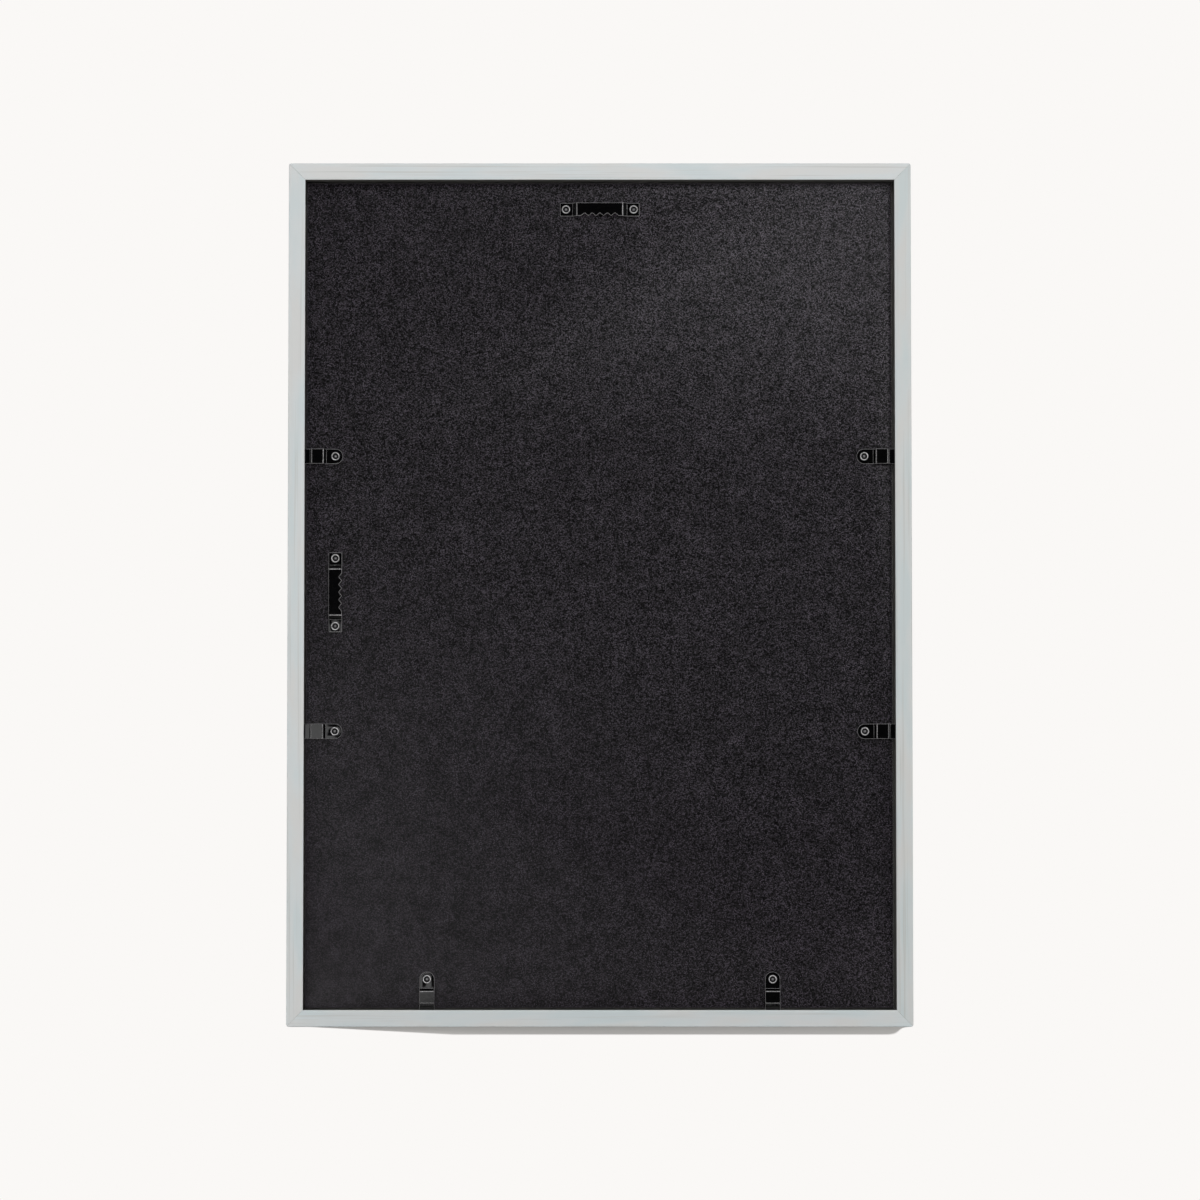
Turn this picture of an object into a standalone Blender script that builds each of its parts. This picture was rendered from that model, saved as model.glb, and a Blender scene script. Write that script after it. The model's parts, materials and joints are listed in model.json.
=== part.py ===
"""Wooden picture frame for an A3 sheet, with its backing board, hangers and turn clips.

World axes: X runs across the frame, +Y points to the front that a viewer sees, +Z is up.
The frame stands upright and its back, with the hardware, looks along -Y.
The origin is the point of the top hanger's middle notch where a wall nail bears.
Left and right are as seen from the back.

Everything is laid out in one plan frame, an empty in the middle of the front face. There x is
across, y is up, and z is the height from the front face towards the wall. A second empty on the
back face of the backing board carries the hardware in the same way.
"""

import math

import bmesh
import bpy
from mathutils import Matrix, Vector

# Sheet that the frame holds, A3
SHEET_WIDTH = 0.297
SHEET_HEIGHT = 0.420
SHEET_THICKNESS = 0.0003

# Glazing and backing board, as tall as the sheet and a little wider
PANEL_OVERHANG = 0.0005
GLAZING_THICKNESS = 0.0015
BOARD_THICKNESS = 0.003
BOARD_DRIFT = -0.0004

# Gaps: a loose panel in its rebate, faces that touch on the real frame, and a glued mitre
PANEL_CLEARANCE = 0.001
SEAT_GAP = 0.0003
MITRE_GAP = 0.0003

# Rails
BACK_WIDTH = 0.0084
SIGHT_LIP = 0.0056
LIP_THICKNESS = 0.005
RECESS_DEPTH = 0.0063
FRONT_ROUND = 0.0012
BACK_ROUND = 0.0007
ARRIS_CHAMFER = 0.0006
CORNER_ROUND = 0.001

# Kerf, the saw cut along the inside of each rail that the clips turn into
KERF_WIDTH = 0.0018
KERF_END_PLAY = 0.0004

# V-nails, folded steel strips driven across the mitres and painted over
NAIL_LEG = 0.0045
NAIL_HALF_ANGLE = math.radians(35)
NAIL_STRIP = 0.0004
NAIL_LENGTH = 0.007
NAIL_SUNK = 0.001

# Semi-tubular rivets, clenched over the hardware on the back of the board
RIVET_SHANK_RADIUS = 0.0015
RIVET_WALL = 0.00045
RIVET_ROLL = 0.00072
RIVET_BORE_DEPTH = 0.0015
RIVET_DOME = 0.0003
RIVET_HEAD_RADIUS = 0.003
RIVET_HEAD_THICKNESS = 0.0006
RIVET_HOLE_CLEARANCE = 0.0003

# Turn clips, measured from the axis of their rivet
CLIP_WIDTH = 0.0076
CLIP_SHEET = 0.0006
CLIP_INSET = 0.0155
CLIP_FOOT = 0.0048
CLIP_RISE_RUN = 0.0014
CLIP_BRIDGE_LIFT = 0.0021
CLIP_STEP_RUN = 0.0007
CLIP_TIP_LIFT = 0.0009
CLIP_TIP_BARE = 0.0028
CLIP_BITE = 0.0025
CLIP_TIP_ROUND = 0.0008
CLIP_BEND_RADIUS = 0.0005
SIDE_CLIP_SHARE = 1 / 3
BOTTOM_CLIP_SPACING = 0.175

# Sawtooth hangers
HANGER_LENGTH = 0.0405
HANGER_WIDTH = 0.0068
HANGER_SHEET = 0.0008
HANGER_LIFT = 0.0022
HANGER_FOOT = 0.00655
HANGER_RISE_RUN = 0.0021
HANGER_BEND_RADIUS = 0.0006
HANGER_CORNER_ROUND = 0.0004
HANGER_RIVET_EDGE = 0.003
NOTCH_COUNT = 5
NOTCH_DEPTH = 0.0015
NOTCH_ROUND = 0.00035
TOP_HANGER_INSET = 0.0147
SIDE_HANGER_INSET = 0.0156
SIDE_HANGER_RAISE = 0.0007

# Fineness of round shapes
CHORD_ERROR = 0.00002
DOME_STEPS = 2
ROLL_STEPS = 6
TURN_STEPS = 20
WELD = 0.000001
SMOOTH_ANGLE = math.radians(35)

# Sizes that follow from the ones above
BOARD_WIDTH = SHEET_WIDTH + 2 * PANEL_OVERHANG
BOARD_HEIGHT = SHEET_HEIGHT
OPENING_WIDTH = BOARD_WIDTH + 2 * PANEL_CLEARANCE
OPENING_HEIGHT = BOARD_HEIGHT + 2 * PANEL_CLEARANCE
OUTER_WIDTH = OPENING_WIDTH + 2 * BACK_WIDTH
OUTER_HEIGHT = OPENING_HEIGHT + 2 * BACK_WIDTH
FACE_WIDTH = BACK_WIDTH + SIGHT_LIP
GLAZING_Z = LIP_THICKNESS + SEAT_GAP
SHEET_Z = GLAZING_Z + GLAZING_THICKNESS + SEAT_GAP
BOARD_Z = SHEET_Z + SHEET_THICKNESS + SEAT_GAP
BOARD_BACK_Z = BOARD_Z + BOARD_THICKNESS
FRAME_DEPTH = BOARD_BACK_Z + RECESS_DEPTH
CLIP_REACH = CLIP_INSET + CLIP_BITE
CLIP_FOOT_HEIGHT = SEAT_GAP + CLIP_SHEET / 2
CLIP_TIP_HEIGHT = CLIP_FOOT_HEIGHT + CLIP_TIP_LIFT
KERF_DEPTH = math.hypot(CLIP_REACH, CLIP_WIDTH / 2) - CLIP_INSET + KERF_END_PLAY
KERF_BACK_Z = BOARD_BACK_Z + CLIP_TIP_HEIGHT + CLIP_SHEET / 2 + SEAT_GAP
NAIL_INSET = (BACK_WIDTH - KERF_DEPTH - NAIL_LEG * math.cos(math.pi / 4 + NAIL_HALF_ANGLE)) / 2
NAIL_Z = FRAME_DEPTH - NAIL_SUNK - NAIL_LENGTH / 2
RIVET_BORE_RADIUS = RIVET_SHANK_RADIUS - RIVET_WALL
RIVET_ROLL_RADIUS = RIVET_SHANK_RADIUS + RIVET_ROLL
RIVET_HOLE_RADIUS = RIVET_SHANK_RADIUS + RIVET_HOLE_CLEARANCE
HANGER_PLATE = HANGER_LENGTH - 2 * (HANGER_FOOT + HANGER_RISE_RUN)
HANGER_FOOT_HEIGHT = SEAT_GAP + HANGER_SHEET / 2
HANGER_PLATE_HEIGHT = HANGER_FOOT_HEIGHT + HANGER_LIFT
NOTCH_PITCH = HANGER_PLATE / (NOTCH_COUNT + 1)

# Colours as linear red, green and blue
PAINT_COLOUR = (0.60, 0.64, 0.64)
BOARD_COLOUR = (0.026, 0.024, 0.026)
BLACK_STEEL_COLOUR = (0.010, 0.010, 0.012)
RIVET_COLOUR = (0.46, 0.46, 0.47)
NAIL_COLOUR = (0.50, 0.50, 0.52)
GLAZING_COLOUR = (0.90, 0.95, 0.95)
PAPER_COLOUR = (0.85, 0.84, 0.80)


def clear_scene():
    """Remove every object that the file opens with."""
    for old in list(bpy.data.objects):
        bpy.data.objects.remove(old, do_unlink=True)


def new_collection(name):
    """Make a collection in the scene, for the pieces or for what is being cut."""
    collection = bpy.data.collections.new(name)
    bpy.context.scene.collection.children.link(collection)
    return collection


def make_material(name, colour, roughness, metallic=0.0, transmission=0.0):
    """Make a Principled material."""
    material = bpy.data.materials.new(name)
    material.use_nodes = True
    shader = material.node_tree.nodes["Principled BSDF"]
    shader.inputs["Base Color"].default_value = (*colour, 1.0)
    shader.inputs["Roughness"].default_value = roughness
    shader.inputs["Metallic"].default_value = metallic
    shader.inputs["Transmission Weight"].default_value = transmission
    material.diffuse_color = (*colour, 1.0)
    return material


def arc_steps(radius, turn):
    """Number of chords that an arc needs to stay within the chord error."""
    chord_turn = 2 * math.acos(1 - CHORD_ERROR / radius)
    return max(2, math.ceil(abs(turn) / chord_turn))


def rounded(corners, radii, closed=True):
    """Return an outline whose corners are arcs, from one radius or one for each corner."""
    count = len(corners)
    if not isinstance(radii, (list, tuple)):
        radii = [radii] * count
    outline = []
    for index, corner in enumerate(corners):
        radius = radii[index]
        is_end = not closed and index in (0, count - 1)
        if radius == 0 or is_end:
            outline.append(Vector(corner))
            continue
        here = Vector(corner)
        before = (Vector(corners[index - 1]) - here).normalized()
        after = (Vector(corners[(index + 1) % count]) - here).normalized()
        half_angle = before.angle(after) / 2
        centre = here + (before + after).normalized() * radius / math.sin(half_angle)
        start = here + before * radius / math.tan(half_angle) - centre
        turn = start.angle_signed(here + after * radius / math.tan(half_angle) - centre)
        steps = arc_steps(radius, turn)
        for step in range(steps + 1):
            spin = Matrix.Rotation(-turn * step / steps, 2)
            outline.append(centre + spin @ start)
    kept = [point for index, point in enumerate(outline)
            if not closed or (point - outline[index - 1]).length > WELD]
    return kept


def ribbon(path, half_width, extra_length=0.0):
    """Return the outline of a strip of even width that follows an open path."""
    points = [Vector(point) for point in path]
    points[0] = points[0] + (points[0] - points[1]).normalized() * extra_length
    points[-1] = points[-1] + (points[-1] - points[-2]).normalized() * extra_length
    left_side = []
    right_side = []
    for index, point in enumerate(points):
        ahead = points[min(index + 1, len(points) - 1)] - points[min(index, len(points) - 2)]
        behind = points[max(index, 1)] - points[max(index - 1, 0)]
        direction = (ahead.normalized() + behind.normalized()).normalized()
        normal = Vector((-direction.y, direction.x))
        offset = normal * half_width / direction.dot(ahead.normalized())
        left_side.append(point + offset)
        right_side.append(point - offset)
    return left_side + right_side[::-1]


def settle(shape):
    """Replace a working object by the plain mesh that its modifiers or curve give."""
    graph = bpy.context.evaluated_depsgraph_get()
    mesh = bpy.data.meshes.new_from_object(shape.evaluated_get(graph))
    bm = bmesh.new()
    bm.from_mesh(mesh)
    bmesh.ops.remove_doubles(bm, verts=bm.verts, dist=WELD)
    bmesh.ops.recalc_face_normals(bm, faces=bm.faces)
    bm.to_mesh(mesh)
    bm.free()
    mesh.name = shape.name
    bpy.data.objects.remove(shape, do_unlink=True)
    return mesh


def working_object(name, data):
    """Put a helper object on the workbench while a mesh is being made."""
    shape = bpy.data.objects.new(name, data)
    bpy.data.collections["workbench"].objects.link(shape)
    return shape


def flat_solid(name, outline, low, high):
    """Return the mesh of a flat outline that fills the heights from low to high."""
    curve = bpy.data.curves.new(name, "CURVE")
    curve.dimensions = "2D"
    curve.fill_mode = "BOTH"
    curve.extrude = (high - low) / 2
    spline = curve.splines.new("POLY")
    spline.points.add(len(outline) - 1)
    for point, place in zip(spline.points, outline):
        point.co = (place[0], place[1], 0, 1)
    spline.use_cyclic_u = True
    mesh = settle(working_object(name, curve))
    mesh.transform(Matrix.Translation((0, 0, (high + low) / 2)))
    return mesh


def turned_solid(name, profile):
    """Return the mesh of a profile, given as radius and height, turned about Z."""
    mesh = bpy.data.meshes.new(name)
    edges = [(index, index + 1) for index in range(len(profile) - 1)]
    mesh.from_pydata([(radius, 0, height) for radius, height in profile], edges, [])
    shape = working_object(name, mesh)
    screw = shape.modifiers.new("turn", "SCREW")
    screw.steps = TURN_STEPS
    screw.render_steps = TURN_STEPS
    screw.use_merge_vertices = True
    screw.merge_threshold = WELD
    return settle(shape)


def block_solid(name, width, height, thickness):
    """Return the mesh of a box in the middle of the plan, standing on height zero."""
    bm = bmesh.new()
    bmesh.ops.create_cube(bm, size=1)
    bmesh.ops.scale(bm, vec=(width, height, thickness), verts=bm.verts)
    bmesh.ops.translate(bm, vec=(0, 0, thickness / 2), verts=bm.verts)
    mesh = bpy.data.meshes.new(name)
    bm.to_mesh(mesh)
    bm.free()
    return mesh


def cut(shape, tool_mesh, place=None, operation="DIFFERENCE"):
    """Give a working object a Boolean modifier with a tool of its own."""
    tool = working_object("tool", tool_mesh)
    tool.matrix_world = place if place else Matrix.Identity(4)
    tool.hide_render = True
    tool.display_type = "WIRE"
    modifier = shape.modifiers.new("cut", "BOOLEAN")
    modifier.operation = operation
    modifier.solver = "EXACT"
    modifier.object = tool
    return tool


def cut_and_settle(shape, tools):
    """Settle a working object and remove the tools that cut it."""
    mesh = settle(shape)
    for tool in tools:
        bpy.data.objects.remove(tool, do_unlink=True)
    return mesh


def add_piece(name, mesh, material, parent, place=(0, 0, 0), angle=0.0):
    """Add one named piece to the frame, placed under an empty and turned in its plan."""
    if not mesh.materials:
        mesh.materials.append(material)
    mesh.shade_smooth()
    mesh.set_sharp_from_angle(angle=SMOOTH_ANGLE)
    piece = bpy.data.objects.new(name, mesh)
    bpy.data.collections["picture_frame"].objects.link(piece)
    piece.parent = parent
    piece.location = place
    piece.rotation_euler = (0, 0, angle)
    return piece


def add_plan(name, parent=None, place=(0, 0, 0), tilt=0.0):
    """Add an empty that carries pieces in plan coordinates."""
    plan = bpy.data.objects.new(name, None)
    bpy.data.collections["picture_frame"].objects.link(plan)
    plan.parent = parent
    plan.location = place
    plan.rotation_euler = (tilt, 0, 0)
    return plan


def rail_profile():
    """Outline of a rail's section: x from the outer face inwards, y from the front backwards."""
    kerf_bottom = BACK_WIDTH - KERF_DEPTH
    chamfer = ARRIS_CHAMFER
    corners = [
        (0, 0, FRONT_ROUND),
        (FACE_WIDTH, 0, FRONT_ROUND),
        (FACE_WIDTH, LIP_THICKNESS, 0),
        (BACK_WIDTH, LIP_THICKNESS, 0),
        (BACK_WIDTH, KERF_BACK_Z - KERF_WIDTH, 0),
        (kerf_bottom, KERF_BACK_Z - KERF_WIDTH, 0),
        (kerf_bottom, KERF_BACK_Z, 0),
        (BACK_WIDTH, KERF_BACK_Z, 0),
        (BACK_WIDTH, FRAME_DEPTH - chamfer, 0),
        (BACK_WIDTH - chamfer, FRAME_DEPTH, 0),
        (0, FRAME_DEPTH, BACK_ROUND),
    ]
    places = [corner[:2] for corner in corners]
    radii = [corner[2] for corner in corners]
    return rounded(places, radii)


def nail_path():
    """Plan of a V-nail in a corner whose outer edges are the x and y axes."""
    leg_angle = math.pi / 4 + NAIL_HALF_ANGLE
    near = NAIL_INSET + NAIL_LEG * math.cos(leg_angle)
    far = NAIL_INSET + NAIL_LEG * math.sin(leg_angle)
    return [(near, far), (NAIL_INSET, NAIL_INSET), (far, near)]


def nail_mesh(name, side_clearance=0.0):
    """V-nail, or the pocket for it when a clearance is given."""
    outline = ribbon(nail_path(), NAIL_STRIP / 2 + side_clearance, side_clearance)
    half_length = NAIL_LENGTH / 2 + side_clearance
    return flat_solid(name, outline, NAIL_Z - half_length, NAIL_Z + half_length)


def corner_round_mesh():
    """Tool that rounds the outer corner of two mitred rails in plan."""
    far = CORNER_ROUND + FACE_WIDTH
    corners = [(CORNER_ROUND, 0), (CORNER_ROUND, -far), (-far, -far), (-far, CORNER_ROUND),
               (0, CORNER_ROUND), (0, 0)]
    outline = rounded(corners, [0, 0, 0, 0, 0, CORNER_ROUND])
    return flat_solid("corner_round_tool", outline, -FACE_WIDTH, FRAME_DEPTH + FACE_WIDTH)


def corner_places(width, height):
    """Placements of the four outer corners, with both edges of a corner running inwards."""
    signs = [(-1, -1), (1, -1), (1, 1), (-1, 1)]
    return [Matrix.Translation((sign_x * width / 2, sign_y * height / 2, 0))
            @ Matrix.Rotation(index * math.pi / 2, 4, "Z")
            for index, (sign_x, sign_y) in enumerate(signs)]


def rail_mesh(name, outer_length):
    """Rail with its outer face on y = 0, mitred at both ends, cut for the V-nails."""
    mesh = flat_solid(name, rail_profile(), -outer_length / 2, outer_length / 2)
    along_x = Matrix(((0, 0, 1, 0), (1, 0, 0, 0), (0, 1, 0, 0), (0, 0, 0, 1)))
    mesh.transform(along_x)
    set_back = MITRE_GAP / math.sqrt(2)
    for vertex in mesh.vertices:
        end = outer_length / 2 - vertex.co.y - set_back
        vertex.co.x = math.copysign(end, vertex.co.x)
    rail = working_object(name, mesh)
    left_corner, right_corner = corner_places(outer_length, 0)[:2]
    tools = []
    for corner in (left_corner, right_corner):
        tools.append(cut(rail, corner_round_mesh(), corner))
        tools.append(cut(rail, nail_mesh("nail_pocket_tool", SEAT_GAP), corner))
    return cut_and_settle(rail, tools)


def rivet_mesh(name, clamped_sheet):
    """Semi-tubular rivet: head in front of the board, rolled rim behind the clamped sheet."""
    rim = SEAT_GAP + clamped_sheet + SEAT_GAP
    roll = (RIVET_ROLL_RADIUS - RIVET_BORE_RADIUS) / 2
    middle = RIVET_BORE_RADIUS + roll
    floor = rim + roll - RIVET_BORE_DEPTH
    head_top = -BOARD_THICKNESS + RIVET_HEAD_THICKNESS
    profile = []
    for step in range(DOME_STEPS + 1):
        share = step / DOME_STEPS
        profile.append((RIVET_BORE_RADIUS * share, floor + RIVET_DOME * (1 - share ** 2)))
    for step in range(ROLL_STEPS + 1):
        angle = math.pi * (1 - step / ROLL_STEPS)
        profile.append((middle + roll * math.cos(angle), rim + roll * math.sin(angle)))
    profile += [
        (RIVET_SHANK_RADIUS, rim),
        (RIVET_SHANK_RADIUS, head_top),
        (RIVET_HEAD_RADIUS, head_top),
        (RIVET_HEAD_RADIUS, -BOARD_THICKNESS),
        (0, -BOARD_THICKNESS),
    ]
    return turned_solid(name, profile)


def rivet_hole_mesh(depth_above):
    """Stepped tool for a rivet's hole and the counterbore of its head in the board."""
    step_height = -BOARD_THICKNESS + RIVET_HEAD_THICKNESS + SEAT_GAP
    head_hole = RIVET_HEAD_RADIUS + RIVET_HOLE_CLEARANCE
    profile = [
        (0, depth_above),
        (RIVET_HOLE_RADIUS, depth_above),
        (RIVET_HOLE_RADIUS, step_height),
        (head_hole, step_height),
        (head_hole, -BOARD_THICKNESS - depth_above),
        (0, -BOARD_THICKNESS - depth_above),
    ]
    return turned_solid("rivet_hole_tool", profile)


def bent_sheet(name, path, width, thickness):
    """Working object of a bent sheet-metal strip: a path in x and z, swept along y."""
    bm = bmesh.new()
    vertices = [bm.verts.new((place[0], -width / 2, place[1])) for place in path]
    edges = [bm.edges.new(pair) for pair in zip(vertices, vertices[1:])]
    swept = bmesh.ops.extrude_edge_only(bm, edges=edges)["geom"]
    moved = [item for item in swept if isinstance(item, bmesh.types.BMVert)]
    bmesh.ops.translate(bm, vec=(0, width, 0), verts=moved)
    mesh = bpy.data.meshes.new(name)
    bm.to_mesh(mesh)
    bm.free()
    strip = working_object(name, mesh)
    solidify = strip.modifiers.new("sheet", "SOLIDIFY")
    solidify.thickness = thickness
    solidify.offset = 0
    solidify.use_even_offset = True
    return strip


def clip_mesh():
    """Turn clip with its rivet hole on the origin and its tip towards +x.

    The strip is bent with some spare sheet all round, and the clip's outline is cut from it.
    """
    half = CLIP_WIDTH / 2
    spare = half
    step_end = CLIP_INSET - CLIP_TIP_BARE
    path = rounded([
        (-half - spare, CLIP_FOOT_HEIGHT),
        (CLIP_FOOT, CLIP_FOOT_HEIGHT),
        (CLIP_FOOT + CLIP_RISE_RUN, CLIP_FOOT_HEIGHT + CLIP_BRIDGE_LIFT),
        (step_end - CLIP_STEP_RUN, CLIP_FOOT_HEIGHT + CLIP_BRIDGE_LIFT),
        (step_end, CLIP_TIP_HEIGHT),
        (CLIP_REACH + spare, CLIP_TIP_HEIGHT),
    ], CLIP_BEND_RADIUS, closed=False)
    clip = bent_sheet("clip", path, CLIP_WIDTH + 2 * spare, CLIP_SHEET)
    outline = rounded(
        [(-half, -half), (CLIP_REACH, -half), (CLIP_REACH, half), (-half, half)],
        [half, CLIP_TIP_ROUND, CLIP_TIP_ROUND, half],
    )
    height = CLIP_BRIDGE_LIFT + 2 * CLIP_SHEET + SEAT_GAP
    tools = [
        cut(clip, flat_solid("clip_outline_tool", outline, -height, 2 * height), None, "INTERSECT"),
        cut(clip, hole_mesh(height)),
    ]
    return cut_and_settle(clip, tools)


def hole_mesh(height):
    """Tool for a plain rivet hole through sheet metal."""
    profile = [(0, height), (RIVET_HOLE_RADIUS, height), (RIVET_HOLE_RADIUS, -height), (0, -height)]
    return turned_solid("hole_tool", profile)


def hanger_outline():
    """Plan of a hanger, long side on x, with the notches in its lower edge."""
    half_length = HANGER_LENGTH / 2
    half_width = HANGER_WIDTH / 2
    corners = [
        (half_length, half_width, HANGER_CORNER_ROUND),
        (-half_length, half_width, HANGER_CORNER_ROUND),
        (-half_length, -half_width, HANGER_CORNER_ROUND),
    ]
    first = -NOTCH_PITCH * NOTCH_COUNT / 2
    for index in range(NOTCH_COUNT):
        start = first + index * NOTCH_PITCH
        corners.append((start, -half_width, NOTCH_ROUND))
        corners.append((start + NOTCH_PITCH / 2, -half_width + NOTCH_DEPTH, NOTCH_ROUND))
    corners.append((first + NOTCH_COUNT * NOTCH_PITCH, -half_width, NOTCH_ROUND))
    corners.append((half_length, -half_width, HANGER_CORNER_ROUND))
    places = [corner[:2] for corner in corners]
    radii = [corner[2] for corner in corners]
    return rounded(places, radii)


def hanger_mesh():
    """Sawtooth hanger centred on the origin, teeth towards -y, cut from a bent strip."""
    spare = HANGER_WIDTH / 2
    half_plate = HANGER_PLATE / 2
    bend = half_plate + HANGER_RISE_RUN
    end = HANGER_LENGTH / 2 + spare
    path = rounded([
        (-end, HANGER_FOOT_HEIGHT),
        (-bend, HANGER_FOOT_HEIGHT),
        (-half_plate, HANGER_PLATE_HEIGHT),
        (half_plate, HANGER_PLATE_HEIGHT),
        (bend, HANGER_FOOT_HEIGHT),
        (end, HANGER_FOOT_HEIGHT),
    ], HANGER_BEND_RADIUS, closed=False)
    hanger = bent_sheet("hanger", path, HANGER_WIDTH + 2 * spare, HANGER_SHEET)
    height = HANGER_PLATE_HEIGHT + HANGER_SHEET
    plan = flat_solid("hanger_outline_tool", hanger_outline(), -height, 2 * height)
    tools = [cut(hanger, plan, None, "INTERSECT")]
    for side in (-1, 1):
        place = Matrix.Translation((side * hanger_rivet_offset(), 0, 0))
        tools.append(cut(hanger, hole_mesh(height), place))
    return cut_and_settle(hanger, tools)


def hanger_rivet_offset():
    """Distance of a hanger's rivets from its middle."""
    return HANGER_LENGTH / 2 - HANGER_RIVET_EDGE


def clip_sites():
    """Plan place and turn of each clip; a turn of zero points its tip towards +x."""
    side = OPENING_WIDTH / 2 - CLIP_INSET
    low = -OPENING_HEIGHT / 2 + CLIP_INSET
    upper = BOARD_HEIGHT * (0.5 - SIDE_CLIP_SHARE)
    across = BOTTOM_CLIP_SPACING / 2
    return {
        "left_upper": ((-side, upper, 0), math.pi),
        "left_lower": ((-side, -upper, 0), math.pi),
        "right_upper": ((side, upper, 0), 0.0),
        "right_lower": ((side, -upper, 0), 0.0),
        "bottom_left": ((-across, low, 0), -math.pi / 2),
        "bottom_right": ((across, low, 0), -math.pi / 2),
    }


def hanger_sites():
    """Plan place and turn of each hanger, and the names of its two rivets."""
    top = (0, OPENING_HEIGHT / 2 - TOP_HANGER_INSET, 0)
    side = (-OPENING_WIDTH / 2 + SIDE_HANGER_INSET, SIDE_HANGER_RAISE, 0)
    return {
        "top": (top, 0.0, ("left", "right")),
        "side": (side, math.pi / 2, ("lower", "upper")),
    }


def add_rails(plan, material):
    """Four mitred rails."""
    long_mesh = rail_mesh("upright_rail", OUTER_HEIGHT)
    short_mesh = rail_mesh("cross_rail", OUTER_WIDTH)
    add_piece("rail_bottom", short_mesh, material, plan, (0, -OUTER_HEIGHT / 2, 0), 0)
    add_piece("rail_right", long_mesh, material, plan, (OUTER_WIDTH / 2, 0, 0), math.pi / 2)
    add_piece("rail_top", short_mesh, material, plan, (0, OUTER_HEIGHT / 2, 0), math.pi)
    add_piece("rail_left", long_mesh, material, plan, (-OUTER_WIDTH / 2, 0, 0), -math.pi / 2)


def add_v_nails(plan, material):
    """One V-nail in each mitre."""
    mesh = nail_mesh("v_nail")
    corners = zip(("bottom_left", "bottom_right", "top_right", "top_left"),
                  corner_places(OUTER_WIDTH, OUTER_HEIGHT))
    for name, corner in corners:
        turn = corner.to_euler().z
        add_piece(f"v_nail_{name}", mesh, material, plan, corner.translation, turn)


def add_panels(plan, glazing_material, paper_material):
    """Glazing and blank sheet in the rebate, in front of the board."""
    glazing = block_solid("glazing", BOARD_WIDTH, BOARD_HEIGHT, GLAZING_THICKNESS)
    add_piece("glazing_sheet", glazing, glazing_material, plan, (0, 0, GLAZING_Z))
    sheet = block_solid("insert", SHEET_WIDTH, SHEET_HEIGHT, SHEET_THICKNESS)
    add_piece("insert_sheet", sheet, paper_material, plan, (0, 0, SHEET_Z))


def rivet_places():
    """Plan place of every rivet, by the name of its node."""
    places = {}
    for name, (place, turn, ends) in hanger_sites().items():
        for side, end in zip((-1, 1), ends):
            offset = Vector((side * hanger_rivet_offset(), 0, 0))
            offset.rotate(Matrix.Rotation(turn, 3, "Z"))
            places[f"hanger_rivet_{name}_{end}"] = Vector(place) + offset
    for name, (place, turn) in clip_sites().items():
        places[f"clip_rivet_{name}"] = Vector(place)
    return places


def add_board(back_plane, material):
    """Backing board with a stepped hole for each rivet, its back face on height zero."""
    mesh = block_solid("board_blank", BOARD_WIDTH, BOARD_HEIGHT, BOARD_THICKNESS)
    mesh.transform(Matrix.Translation((BOARD_DRIFT, 0, -BOARD_THICKNESS)))
    board = working_object("board", mesh)
    tools = []
    for place in rivet_places().values():
        tools.append(cut(board, rivet_hole_mesh(BOARD_THICKNESS), Matrix.Translation(place)))
    add_piece("backing_board", cut_and_settle(board, tools), material, back_plane)


def add_hangers(back_plane, material):
    """Two sawtooth hangers, for hanging the frame upright or on its side."""
    mesh = hanger_mesh()
    for name, (place, turn, _) in hanger_sites().items():
        add_piece(f"sawtooth_hanger_{name}", mesh, material, back_plane, place, turn)


def add_clips(back_plane, material):
    """Six turn clips, each with its origin on its rivet's axis."""
    mesh = clip_mesh()
    for name, (place, turn) in clip_sites().items():
        add_piece(f"clip_{name}", mesh, material, back_plane, place, turn)


def add_rivets(back_plane, material):
    """A rivet at each end of both hangers and one through each clip."""
    hanger_rivet = rivet_mesh("hanger_rivet", HANGER_SHEET)
    clip_rivet = rivet_mesh("clip_rivet", CLIP_SHEET)
    for name, place in rivet_places().items():
        mesh = hanger_rivet if name.startswith("hanger") else clip_rivet
        add_piece(name, mesh, material, back_plane, place)


def build():
    """Build the whole frame."""
    clear_scene()
    new_collection("picture_frame")
    workbench = new_collection("workbench")
    painted_wood = make_material("painted_wood", PAINT_COLOUR, 0.55)
    black_board = make_material("black_board", BOARD_COLOUR, 0.8)
    black_steel = make_material("black_steel", BLACK_STEEL_COLOUR, 0.25, 0.6)
    rivet_steel = make_material("rivet_steel", RIVET_COLOUR, 0.3, 1.0)
    nail_steel = make_material("nail_steel", NAIL_COLOUR, 0.4, 1.0)
    clear_acrylic = make_material("clear_acrylic", GLAZING_COLOUR, 0.05, 0.0, 1.0)
    blank_paper = make_material("blank_paper", PAPER_COLOUR, 0.9)

    notch_height = OPENING_HEIGHT / 2 - TOP_HANGER_INSET - HANGER_WIDTH / 2 + NOTCH_DEPTH
    front_y = BOARD_BACK_Z + HANGER_PLATE_HEIGHT
    plan = add_plan("front_plan", None, (0, front_y, -notch_height), math.pi / 2)
    back_plane = add_plan("board_plan", plan, (0, 0, BOARD_BACK_Z))

    add_rails(plan, painted_wood)
    add_v_nails(plan, nail_steel)
    add_panels(plan, clear_acrylic, blank_paper)
    add_board(back_plane, black_board)
    add_hangers(back_plane, black_steel)
    add_clips(back_plane, black_steel)
    add_rivets(back_plane, rivet_steel)
    bpy.data.collections.remove(workbench)
    bpy.context.view_layer.update()


build()
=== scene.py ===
"""Looks of a wooden picture frame, seen from its back.

The packed model is the fixed frame: it says where every piece is and what it moves with. This
script gives each piece its finished shape and material, then sets up the camera, the lamps and
the floor. World axes are the frame's own: +X right and +Z up as seen from the back, and -Y
towards the wall and the camera. All sizes are in metres.
"""

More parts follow.
